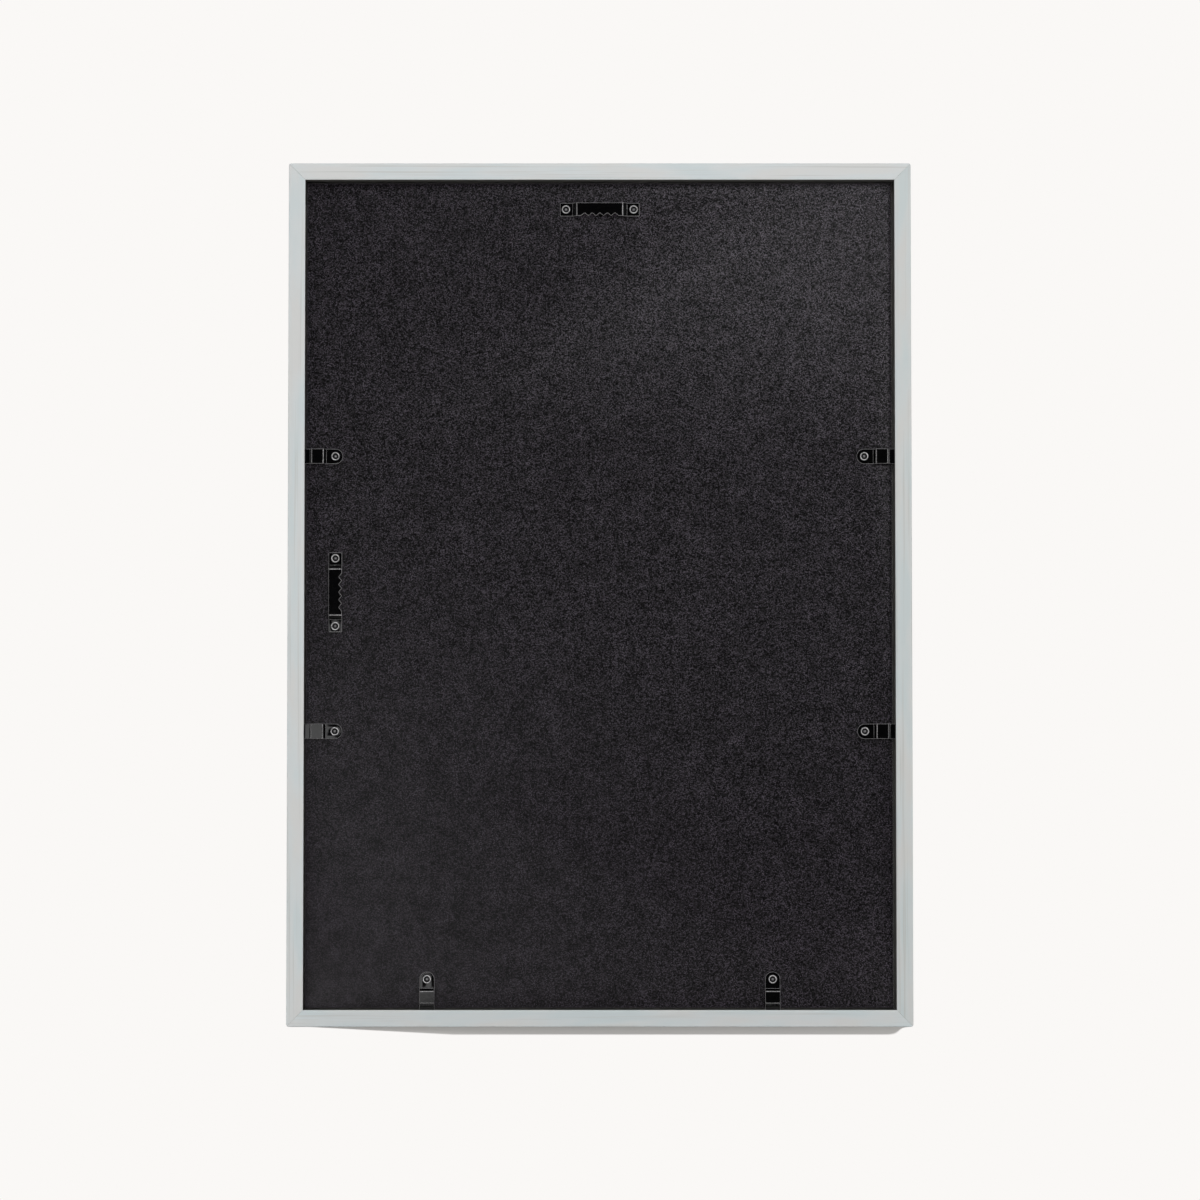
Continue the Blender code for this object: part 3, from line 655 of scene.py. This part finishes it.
def set_zinc_steel(look):
    """Zinc-plated steel rivet, rolled over by a setting tool.

    The rolled rim is painted bright along its crest and darker on its flanks, a painted shade
    where it turns from the light. The dome is painted paler on top, a painted highlight, and the
    groove round it is painted nearly black as painted shade.
    """
    material, add, shader = new_material("set_zinc_steel")
    radius = add("Attribute", output="Fac", attribute_name="radius")
    place = add("TexCoord", output="Object")
    scuffs = add("TexNoise", (place, 1 / (0.35 * MM), 3.0))
    plated = add("ValToRGB", [scuffs], steps=[(0.3, look.grime_and_shade), (0.5, look.steel)])
    # Painted shade: away from the crest and towards the dome's edge the plating is painted dull,
    # and the groove near black; the dome's top keeps a painted highlight
    roll = (look.roll + look.wall) / 2
    crest = look.shank - look.wall + roll
    beside = add("Math", (radius, crest), "SUBTRACT")
    off_crest = add("Math", [beside], "ABSOLUTE")
    flank_shade = add("MapRange", (off_crest, 0.2 * roll, 0.75 * roll))
    dome_shade = add("MapRange", (radius, 0.0, look.dome_radius, 0.6))
    painted_shade_share = add("Math", (flank_shade, dome_shade), "MULTIPLY")
    dulled = add("Mix", (painted_shade_share, plated, look.grime_and_shade), data_type="RGBA")
    groove_middle = (look.shank + look.dome_radius) / 2
    groove_half = (look.shank - look.dome_radius) / 2
    in_groove = add("Math", (radius, groove_middle, groove_half), "COMPARE")
    shade = add("Mix", (in_groove, dulled, look.groove), data_type="RGBA")
    roughness = add("MapRange", (scuffs, 0.0, 1.0, 0.28, 0.45))
    bump = add("Bump", {"Height": scuffs, "Distance": 0.02 * MM})
    fill(shader, {"Base Color": shade, "Metallic": 0.65, "Roughness": roughness, "Normal": bump})
    return material


def rolled_strip_steel(look):
    """Cold-rolled strip of the V-nails: bare, with fine rolling lines along the strip."""
    material, add, shader = new_material("rolled_strip_steel")
    place = add("TexCoord", output="Object")
    along_strip = add("Mapping", {"Vector": place, "Scale": per_size(0.12, 4, 0.12)})
    rolling = add("TexNoise", (along_strip, 1.0))
    shade = add("ValToRGB", [rolling], steps=[
        (0.3, [0.6 * part for part in look.strip]), (0.7, look.strip)])
    roughness = add("MapRange", (rolling, 0.0, 1.0, 0.28, 0.48))
    fill(shader, {"Base Color": shade, "Metallic": 1.0, "Roughness": roughness})
    return material


def extruded_clear_acrylic(look):
    """Extruded acrylic glazing: clear and glossy, with the faint waves of the extrusion rolls."""
    material, add, shader = new_material("extruded_clear_acrylic")
    place = add("TexCoord", output="Object")
    long_waves = add("Mapping", {"Vector": place, "Scale": per_size(30, 30, 140)})
    waves = add("TexNoise", (long_waves, 1.0))
    bump = add("Bump", {"Height": waves, "Distance": 0.02 * MM})

    # Lamp light passes through it straight on to the sheet behind
    is_shadow = add("LightPath", output="Is Shadow Ray")
    shading = add("MapRange", (is_shadow, 0.0, 1.0, 1.0, 0.08))
    fill(shader, {"Base Color": look.acrylic, "Roughness": 0.02, "IOR": 1.49,
                  "Transmission Weight": 1.0, "Alpha": shading, "Normal": bump})
    return material


def uncoated_paper(look):
    """Blank uncoated paper: matt, with a cloud of fibres a few millimetres across."""
    material, add, shader = new_material("uncoated_paper")
    place = add("TexCoord", output="Object")
    clouds = add("TexNoise", (place, 1 / (2.5 * MM), 6.0, 0.7))
    shade = add("ValToRGB", [clouds], steps=[(0.3, look.fibre), (0.6, look.paper)])
    bump = add("Bump", {"Height": clouds, "Distance": 0.04 * MM})
    fill(shader, {"Base Color": shade, "IOR": 1.4, "Roughness": 0.9, "Normal": bump})
    return material


# Pieces

def rail_section(look):
    """Section of a rail: x from the outer face inwards, y from the front backwards."""
    kerf_bottom = look.back_width - look.kerf_depth
    kerf_high = FRAME_HIGH.y - BOARD_LOW.y + look.kerf_back
    kerf_low = kerf_high - look.kerf_width
    saw_round = 0.15 * MM
    return rounded([
        (0, 0, look.front_round),
        (look.face_width, 0, look.front_round),
        (look.face_width, look.lip, saw_round),
        (look.back_width, look.lip, 0),
        (look.back_width, kerf_low, saw_round),
        (kerf_bottom, kerf_low, 0),
        (kerf_bottom, kerf_high, 0),
        (look.back_width, kerf_high, saw_round),
        (look.back_width, FRAME_DEPTH - look.inner_drop, saw_round),
        (look.back_width - look.inner_slope, FRAME_DEPTH, look.inner_slope),
        (0, FRAME_DEPTH, look.outer_round),
    ])


def cut_across(bm, along, near=WELD):
    """Cut a mesh through at a place along x."""
    everything = bm.verts[:] + bm.edges[:] + bm.faces[:]
    bmesh.ops.bisect_plane(bm, geom=everything, dist=near, plane_co=(along, 0, 0),
                           plane_no=(1, 0, 0))


def round_corners(mesh, half_length, radius):
    """Sand both outer corners of a mitred rail, whose outer face is y = 0, to a radius in plan."""
    bm = bmesh.new()
    bm.from_mesh(mesh)
    for share in CORNER_CUTS:
        cut_across(bm, share * radius - half_length)
        cut_across(bm, half_length - share * radius)
    for vertex in bm.verts:
        x, y, z = vertex.co
        from_centre = Vector((radius - half_length + abs(x), radius - y))
        if min(from_centre) > 0 and from_centre.length > radius:
            outline = from_centre.normalized() * radius
            along = half_length - radius + outline.x
            vertex.co = (math.copysign(along, x), radius - outline.y, z)
    bm.to_mesh(mesh)
    bm.free()


class FRAME_OT_rails(bpy.types.Operator):
    """Make the four mitred and painted rails"""
    bl_idname = "picture_frame.rails"
    bl_label = "Painted rails"

    def execute(self, context):
        look = context.scene.rail_look
        curve = bpy.data.curves.new("rail_section", "CURVE")
        add_spline(curve, [(-x, -y) for x, y in rail_section(look)])
        section = linked("rail_section", curve)
        tree = rail_tree()
        material = satin_painted_wood(look)
        middle = Vector((FRAME_MIDDLE.x, FRAME_HIGH.y, FRAME_MIDDLE.z))
        for index, (name, degrees) in enumerate(RAILS.items()):
            half_length, reach = FRAME_WIDTH / 2, FRAME_HEIGHT / 2
            if degrees % 180 != 0:
                half_length, reach = reach, half_length
            mesh = grown(tree, bpy.data.meshes.new("rail_host"), {
                "Section": section, "Half Length": half_length, "Rows": RAIL_ROWS,
                "Mitre Gap": look.mitre_gap, "Grain Start": GRAIN_STEP * index + FIRST_GRAIN,
                "Tone": RAIL_TONES[name], "Material": material})
            round_corners(mesh, half_length, look.corner_round)
            mesh.transform(back_view(middle, degrees) @ Matrix.Translation((0, -reach, 0)))
            dress(name + "_painted", mesh, material, [name])
        bpy.data.objects.remove(section)
        return {"FINISHED"}


class FRAME_OT_board(bpy.types.Operator):
    """Make the backing board with its papered edges"""
    bl_idname = "picture_frame.board"
    bl_label = "Backing board"

    def execute(self, context):
        look = context.scene.board_look
        bm = bmesh.new()
        bm.from_mesh(frame["nodes"]["backing_board"].data)
        bmesh.ops.remove_doubles(bm, verts=bm.verts, dist=WELD)
        bmesh.ops.dissolve_limit(bm, angle_limit=math.radians(1), verts=bm.verts, edges=bm.edges)
        outside = [edge for edge in bm.edges if self.is_outer_edge(edge)]
        bmesh.ops.bevel(bm, geom=outside, offset=look.edge_round, segments=3, profile=0.5,
                        affect="EDGES", clamp_overlap=True)
        mesh = bpy.data.meshes.new("board")
        bm.to_mesh(mesh)
        bm.free()
        dress("backing_board_papered", mesh, pebbled_black_paper(look), ["backing_board"])
        return {"FINISHED"}

    @staticmethod
    def is_outer_edge(edge):
        """Whether an edge is one of the twelve edges of the board's box."""
        sides = [all(abs(vertex.co[axis] - limit) < WELD for vertex in edge.verts)
                 for axis in range(3) for limit in (BOARD_LOW[axis], BOARD_HIGH[axis])]
        return sum(sides) == 2


def blank(outline, holes, sheet, edge_round):
    """Flat blank of sheet metal with rounded edges, its middle on height zero."""
    curve = bpy.data.curves.new("blank", "CURVE")
    curve.dimensions = "2D"
    curve.fill_mode = "BOTH"
    curve.extrude = sheet / 2 - edge_round
    curve.bevel_depth = edge_round
    curve.bevel_resolution = 3
    curve.offset = -edge_round
    for spline in [outline, *holes]:
        add_spline(curve, spline)
    mesh = plain_mesh(linked("blank", curve))
    over_edge = mesh.attributes.new("edge", "FLOAT", "POINT")
    for vertex, value in zip(mesh.vertices, over_edge.data):
        value.value = min((sheet / 2 - abs(vertex.co.z)) / edge_round, 1)
    return mesh


def travel(path):
    """Distance along a path to each of its points."""
    distances = [0.0]
    for before, after in zip(path, path[1:]):
        distances.append(distances[-1] + (after - before).length)
    return distances


def shouldered(path, shoulder):
    """Path with a point added on every straight just beside its bends."""
    points = [path[0]]
    for before, after in zip(path, path[1:]):
        side = after - before
        if side.length > 4 * shoulder:
            step = side.normalized() * shoulder
            points += [before + step, after - step]
        points.append(after)
    return points


def bend_blank(mesh, path, start, wear):
    """Bend a flat blank, long side on x, so that its middle follows a path in x and height.

    The path begins where the blank's x is start. Points in a bend are marked this far over the
    edge, which paints a highlight along the bend.
    """
    path = shouldered(path, BEND_SHOULDER)
    distances = travel(path)
    sides = [(after - before).normalized() for before, after in zip(path, path[1:])]
    normals = []
    for index in range(len(path)):
        before = sides[max(index - 1, 0)]
        after = sides[min(index, len(sides) - 1)]
        middle = (before + after).normalized()
        normals.append(Vector((-middle.y, middle.x)) / middle.dot(after))
    turns = [before.angle(after) > STRAIGHT_ANGLE for before, after in zip(sides, sides[1:])]
    in_bend = [all(turns[max(index - 2, 0):index + 1]) and index > 1
               for index in range(len(path))]
    bm = bmesh.new()
    bm.from_mesh(mesh)
    over_edge = bm.verts.layers.float["edge"]
    for distance in distances[1:-1]:
        cut_across(bm, start + distance, near=WELD / 10)
    for vertex in bm.verts:
        along = min(max(vertex.co.x - start, 0), distances[-1])
        index = next(place for place in range(len(path) - 1)
                     if along <= distances[place + 1] + WELD)
        share = (along - distances[index]) / (distances[index + 1] - distances[index])
        on_path = path[index].lerp(path[index + 1], share)
        normal = normals[index].lerp(normals[index + 1], share)
        # Painted highlight: a bend gets bare steel along it
        if in_bend[index if share < 0.5 else index + 1]:
            vertex[over_edge] = max(vertex[over_edge], wear)
        bent = on_path + normal * vertex.co.z
        vertex.co = (bent.x, vertex.co.y, bent.y)
    bmesh.ops.recalc_face_normals(bm, faces=bm.faces)
    bm.to_mesh(mesh)
    bm.free()


class FRAME_OT_hangers(bpy.types.Operator):
    """Make both sawtooth hangers from bent blanks"""
    bl_idname = "picture_frame.hangers"
    bl_label = "Sawtooth hangers"

    def execute(self, context):
        look = context.scene.hanger_look
        wear = context.scene.enamel_look.bend_highlight
        material = stoved_black_enamel(context.scene.enamel_look)
        for name, degrees in HANGERS.items():
            low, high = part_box(name)
            size = high - low
            across, along = (size.z, size.x) if degrees == 0 else (size.x, size.z)
            mesh = self.bent_hanger(look, along, across, size.y, wear)
            middle = (low + high) / 2
            foot = Vector((middle.x, high.y - look.sheet / 2, middle.z))
            mesh.transform(back_view(foot, degrees))
            dress(name + "_enamelled", mesh, material, [name])
        return {"FINISHED"}

    @staticmethod
    def bent_hanger(look, along, across, depth, wear):
        """Hanger on the origin, teeth towards -y, its feet's middle on height zero."""
        lift = depth - look.sheet
        plate = along / 2 - look.foot - look.rise_run
        path = rounded([
            (-along / 2, 0, 0),
            (-plate - look.rise_run, 0, look.bend),
            (-plate, lift, look.bend),
            (plate, lift, look.bend),
            (plate + look.rise_run, 0, look.bend),
            (along / 2, 0, 0),
        ], closed=False)
        half = travel(path)[-1] / 2
        top = across / 2
        corners = [
            (half, top, look.corner),
            (-half, top, look.corner),
            (-half, -top, look.corner),
        ]
        pitch = 2 * plate / (look.notches + 1)
        first = -pitch * look.notches / 2
        for index in range(look.notches):
            begin = first + index * pitch
            corners.append((begin, -top, look.notch_round))
            corners.append((begin + pitch / 2, look.notch_depth - top, look.notch_round))
        corners.append((-first, -top, look.notch_round))
        corners.append((half, -top, look.corner))
        holes = [circle(side * (half - look.rivet_edge), look.rivet_hole) for side in (-1, 1)]
        mesh = blank(rounded(corners), holes, look.sheet, look.edge_round)
        bend_blank(mesh, path, -half, wear)
        return mesh


class FRAME_OT_clips(bpy.types.Operator):
    """Make the six turn clips from one bent blank"""
    bl_idname = "picture_frame.clips"
    bl_label = "Turn clips"

    def execute(self, context):
        look = context.scene.clip_look
        wear = context.scene.enamel_look.bend_highlight
        material = stoved_black_enamel(context.scene.enamel_look)
        for joint in frame["joints"]:
            name = "clip_" + joint["name"].removesuffix("_clip_turn")
            low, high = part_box(name)
            side = name.split("_")[1]
            pivot = Vector(joint["pos_m"])
            along, aside = (2, 0) if side == "bottom" else (0, 2)
            tip = high if side == "right" else low
            ahead = abs(tip[along] - pivot[along])
            mesh = self.bent_clip(look, ahead, high[aside] - low[aside], wear)
            foot = Vector((pivot.x, high.y - look.sheet / 2, pivot.z))
            mesh.transform(back_view(foot, CLIP_TURNS[side]))
            dress(name + "_enamelled", mesh, material, [name])
        return {"FINISHED"}

    @staticmethod
    def bent_clip(look, ahead, across, wear):
        """Clip with its rivet hole on the origin and its tip towards +x."""
        half = across / 2
        path = rounded([
            (-half, 0, 0),
            (look.foot, 0, look.bend),
            (look.foot + look.rise_run, look.lift, look.bend),
            (look.step_start, look.lift, look.bend),
            (look.step_start + look.step_run, look.tip_lift, look.bend),
            (ahead, look.tip_lift, 0),
        ], closed=False)
        end = travel(path)[-1] - half
        near_half = half - 0.02 * MM
        outline = rounded([
            (-half, -half, near_half),
            (end, -half, look.tip_round),
            (end, half, look.tip_round),
            (-half, half, near_half),
        ])
        mesh = blank(outline, [circle(0, look.rivet_hole)], look.sheet, look.edge_round)
        bend_blank(mesh, path, -half, wear)
        return mesh


class FRAME_OT_rivets(bpy.types.Operator):
    """Set the ten tubular rivets"""
    bl_idname = "picture_frame.rivets"
    bl_label = "Rivets"

    def execute(self, context):
        look = context.scene.rivet_look
        material = set_zinc_steel(look)
        tree = rivet_tree()
        for seed, kind in enumerate(["hanger", "clip"]):
            nodes = sorted(name for name in frame["nodes"] if name.startswith(kind + "_rivet_"))
            points = bpy.data.meshes.new("rivet_points")
            points.from_pydata([self.board_place(name) for name in nodes], [], [])
            curve = bpy.data.curves.new("rivet_section", "CURVE")
            profile = self.section(look, rim_height=BOARD_LOW.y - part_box(nodes[0])[0].y)
            add_spline(curve, [(radius - look.shank, -height) for radius, height in profile],
                       closed=False)
            section = linked("rivet_section", curve)
            mesh = grown(tree, points, {
                "Section": section, "Steps": RIVET_STEPS, "Spin Radius": look.shank,
                "Unevenness": look.unevenness, "Seed": seed, "Material": material})
            bpy.data.objects.remove(section)
            mesh.transform(back_view(Vector((0, BOARD_LOW.y, 0)), 0))
            dress(kind + "_rivets_set", mesh, material, nodes)
        return {"FINISHED"}

    @staticmethod
    def board_place(name):
        """Place of a rivet's axis on the board's back: x right and y up."""
        low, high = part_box(name)
        middle = (low + high) / 2
        return (middle.x, middle.z, 0)

    @staticmethod
    def section(look, rim_height):
        """Half section of a rivet as radius and height over the board's back."""
        bore = look.shank - look.wall
        outside = look.shank + look.roll
        roll = (outside - bore) / 2
        middle = bore + roll
        seat = rim_height - roll
        floor = seat - look.bore
        head_top = look.head_thickness - BOARD_THICKNESS
        dome_steps, roll_steps, chamfer = 6, 16, 0.1 * MM
        profile = []
        for step in range(dome_steps + 1):
            share = step / dome_steps
            height = floor + look.dome * math.sqrt(1 - share ** 2)
            profile.append((look.dome_radius * share, height))
        profile.append((bore, floor))
        for step in range(roll_steps + 1):
            angle = math.pi * (1 - step / roll_steps)
            profile.append((middle + roll * math.cos(angle), seat + roll * math.sin(angle)))
        profile += [
            (look.shank, seat),
            (look.shank, head_top),
            (look.head - chamfer, head_top),
            (look.head, head_top - chamfer),
            (look.head, -BOARD_THICKNESS),
            (0, -BOARD_THICKNESS),
        ]
        return profile


class FRAME_OT_sheets(bpy.types.Operator):
    """Finish the glazing, the blank sheet and the V-nails"""
    bl_idname = "picture_frame.sheets"
    bl_label = "Glazing, sheet and V-nails"

    def execute(self, context):
        look = context.scene.sheet_look
        repaint("glazing_sheet", extruded_clear_acrylic(look))
        repaint("insert_sheet", uncoated_paper(look))
        strip = rolled_strip_steel(look)
        for name in frame["nodes"]:
            if name.startswith("v_nail_"):
                repaint(name, strip)
        return {"FINISHED"}


# Stage

def studio_world(look):
    """World that shows the pale backdrop, and lights the frame softly from all round.

    A mirror-like face on the frame's back looks at the room behind the camera, which is dark.
    """
    world = bpy.data.worlds.new("studio")
    world.use_nodes = True
    add = partial(add_node, world.node_tree)
    rays = add("LightPath").node.outputs
    towards = add("TexCoord", output="Generated")
    split = add("SeparateXYZ", [towards]).node.outputs

    # The room on the camera's side is dark, and the backdrop on the far side is pale
    room = add("MapRange", (split["Y"], -0.4, 0.15, 0.015, 1.0), interpolation_type="SMOOTHSTEP")
    reflected = add("Math", (rays["Is Glossy Ray"], room), "MULTIPLY")
    upward = add("MapRange", (split["Z"], -1.0, 1.0, 0.6 * look.sky, 1.4 * look.sky))

    # Most of the soft light comes from straight behind and from straight in front, and a belt
    # at right angles to these lights the frame's edges and the floor
    facing = add("Math", [split["Y"]], "ABSOLUTE")
    panels = add("MapRange", (facing, 0.75, 0.96, 1.0, look.panels),
                 interpolation_type="SMOOTHSTEP")
    belt = add("MapRange", (facing, 0.1, 0.4, look.belt, 0.0), interpolation_type="SMOOTHSTEP")
    shaped = add("Math", (panels, belt), "ADD")
    lighting = add("Math", (upward, shaped), "MULTIPLY")
    not_glossy = add("Math", (1.0, rays["Is Glossy Ray"]), "SUBTRACT")
    diffuse = add("Math", (lighting, not_glossy, reflected), "MULTIPLY_ADD")
    seen = add("Math", (rays["Is Camera Ray"], rays["Is Transmission Ray"]), "MAXIMUM")
    level = add("Mix", (seen, diffuse, 1.0))
    fill(world.node_tree.nodes["Background"], {"Color": look.backdrop, "Strength": level})
    return world


def backdrop_paper(look):
    """Floor paper: near the frame a darker lit paper paints the frame's shadow in a shaped pool,
    with the real shadows inside it; plain backdrop further out.
    """
    material = bpy.data.materials.new("backdrop_paper")
    material.use_nodes = True
    material.node_tree.nodes.clear()
    add = partial(add_node, material.node_tree)
    rays = add("LightPath").node.outputs
    place = add("TexCoord", output="Object")
    split = add("SeparateXYZ", [place]).node.outputs

    # Behind, the painted shadow narrows over 78 mm to the left end and over 23 mm to the right
    # end. Its far edge is soft over its last sixth.
    half = FRAME_WIDTH / 2
    left = add("MapRange", (split["X"], 12 * MM - half, 90 * MM - half, 10 * MM, look.shade))
    right = add("MapRange", (split["X"], half - 25 * MM, half - 2 * MM, 1.0, 0.05),
                interpolation_type="SMOOTHSTEP")
    reach = add("Math", (left, right), "MULTIPLY")
    painted_shadow_fade = add("Math", (reach, 0.84), "MULTIPLY")
    behind = add("Math", (split["Y"], -1.0), "MULTIPLY")
    past_painted_shadow = add("MapRange", (behind, painted_shadow_fade, reach), interpolation_type="SMOOTHSTEP")

    # In front the painted shadow is short and soft. Past both ends there is none, and its edge
    # there gets softer the further it lies from the frame.
    before = add("MapRange", (split["Y"], FRAME_HIGH.y, 120 * MM), interpolation_type="SMOOTHSTEP")
    sideways = add("Math", [split["X"]], "ABSOLUTE")
    away = add("Math", [split["Y"]], "ABSOLUTE")
    edge = add("Math", (away, -0.08, half - 4 * MM), "MULTIPLY_ADD")
    past_end = add("MapRange", (sideways, edge, half), interpolation_type="SMOOTHSTEP")
    either = add("Math", (past_painted_shadow, before), "MAXIMUM")
    far = add("Math", (either, past_end), "MAXIMUM")
    seen = add("Math", (rays["Is Camera Ray"], rays["Is Transmission Ray"]), "MAXIMUM")
    looked_at = add("Math", (seen, rays["Is Glossy Ray"]), "MAXIMUM")
    plain = add("Math", (far, looked_at), "MULTIPLY")

    # The paper ends in front of the frame, and a mirror-like face shows the dark floor there
    paper = add("MapRange", (split["Y"], -250 * MM, -50 * MM, 0.02))
    level = add("Math", (seen, paper), "MAXIMUM")
    lit = add("BsdfDiffuse", {"Color": look.floor})
    glow = add("Emission", {"Color": look.backdrop, "Strength": level})
    mixed = add("MixShader", (plain, lit, glow))
    add("OutputMaterial", {"Surface": mixed})
    return material


def add_softbox(name, power, size, place, aim=(0, 0, 0)):
    """Area lamp of a size, at a place and aimed at a point, both relative to the frame."""
    lamp = bpy.data.lights.new(name, "AREA")
    lamp.shape = "RECTANGLE"
    lamp.size, lamp.size_y = size
    lamp.energy = power
    holder = linked(name, lamp)
    holder.location = FRAME_MIDDLE + Vector(place)
    towards = Vector(aim) - Vector(place)
    holder.rotation_euler = towards.to_track_quat("-Z", "Y").to_euler()
    holder.visible_camera = False


class FRAME_OT_stage(bpy.types.Operator):
    """Set up the camera, the lamps, the world and the floor"""
    bl_idname = "picture_frame.stage"
    bl_label = "Stage"

    def execute(self, context):
        look = context.scene.stage_look
        context.scene.world = studio_world(look)
        context.scene.view_settings.view_transform = "Standard"
        self.add_floor(look)
        self.add_camera(context, look)
        add_softbox("key_softbox", look.key_power, size=(0.5, 1.3), place=(1.24, -2.54, 0.9))
        add_softbox("top_softbox", look.top_power, size=(0.8, 0.6), place=(-0.1, -2.1, 1.4))
        add_softbox("low_softbox", look.low_power, size=(0.34, 0.21),
                    place=(-0.27, -0.855, -0.116), aim=(-0.27, 0, -0.116))
        add_softbox("front_softbox", look.front_power, size=(1.2, 1.2), place=(-1.0, 2.2, 1.4))
        return {"FINISHED"}

    @staticmethod
    def add_floor(look):
        """Round floor under the frame, wider than any camera's distance."""
        bm = bmesh.new()
        bmesh.ops.create_circle(bm, cap_ends=True, segments=96, radius=FLOOR_RADIUS)
        mesh = bpy.data.meshes.new("floor")
        bm.to_mesh(mesh)
        bm.free()
        mesh.transform(Matrix.Translation((0, 0, FRAME_LOW.z)))
        mesh.materials.append(backdrop_paper(look))
        linked("floor", mesh)

    @staticmethod
    def add_camera(context, look):
        """Camera straight behind the frame, a little under its middle and tilted up to it."""
        data = bpy.data.cameras.new("camera")
        data.lens = look.lens
        data.sensor_width = 36
        data.clip_end = 50
        camera = linked("camera", data)
        back = Vector((0, -math.cos(look.elevation), math.sin(look.elevation)))
        pixel = look.distance * data.sensor_width / data.lens / PHOTO_SIZE
        off_centre = Vector((PHOTO_SIZE / 2 - look.middle_x, 0, look.middle_y - PHOTO_SIZE / 2))
        target = Vector((0, FRAME_LOW.y, FRAME_MIDDLE.z)) + off_centre * pixel
        camera.location = target + back * look.distance
        camera.rotation_euler = (-back).to_track_quat("-Z", "Y").to_euler()
        context.scene.camera = camera


# Add-on

SETTINGS = {
    "rail_look": RailSettings,
    "board_look": BoardSettings,
    "hanger_look": HangerSettings,
    "clip_look": ClipSettings,
    "enamel_look": EnamelSettings,
    "rivet_look": RivetSettings,
    "sheet_look": SheetSettings,
    "stage_look": StageSettings,
}
OPERATORS = [FRAME_OT_rails, FRAME_OT_board, FRAME_OT_hangers, FRAME_OT_clips, FRAME_OT_rivets,
             FRAME_OT_sheets, FRAME_OT_stage]


class FRAME_PT_looks(bpy.types.Panel):
    """Settings and steps of the picture frame's looks"""
    bl_idname = "FRAME_PT_looks"
    bl_label = "Picture Frame"
    bl_space_type = "VIEW_3D"
    bl_region_type = "UI"
    bl_category = "Picture Frame"

    def draw(self, context):
        for operator in OPERATORS:
            self.layout.operator(operator.bl_idname)
        for name, group in SETTINGS.items():
            box = self.layout.box()
            box.label(text=group.__doc__)
            for setting in group.__annotations__:
                box.prop(getattr(context.scene, name), setting)


def register():
    """Register the settings, the operators and the panel."""
    for name, group in SETTINGS.items():
        bpy.utils.register_class(group)
        setattr(bpy.types.Scene, name, PointerProperty(type=group))
    for item in [*OPERATORS, FRAME_PT_looks]:
        bpy.utils.register_class(item)


def unregister():
    """Take all of it away again."""
    for item in [FRAME_PT_looks, *reversed(OPERATORS)]:
        bpy.utils.unregister_class(item)
    for name, group in SETTINGS.items():
        delattr(bpy.types.Scene, name)
        bpy.utils.unregister_class(group)


def main():
    """Register the add-on and dress the frame."""
    register()
    bpy.ops.picture_frame.rails()
    bpy.ops.picture_frame.board()
    bpy.ops.picture_frame.hangers()
    bpy.ops.picture_frame.clips()
    bpy.ops.picture_frame.rivets()
    bpy.ops.picture_frame.sheets()
    bpy.ops.picture_frame.stage()


if __name__ == "__main__":
    main()
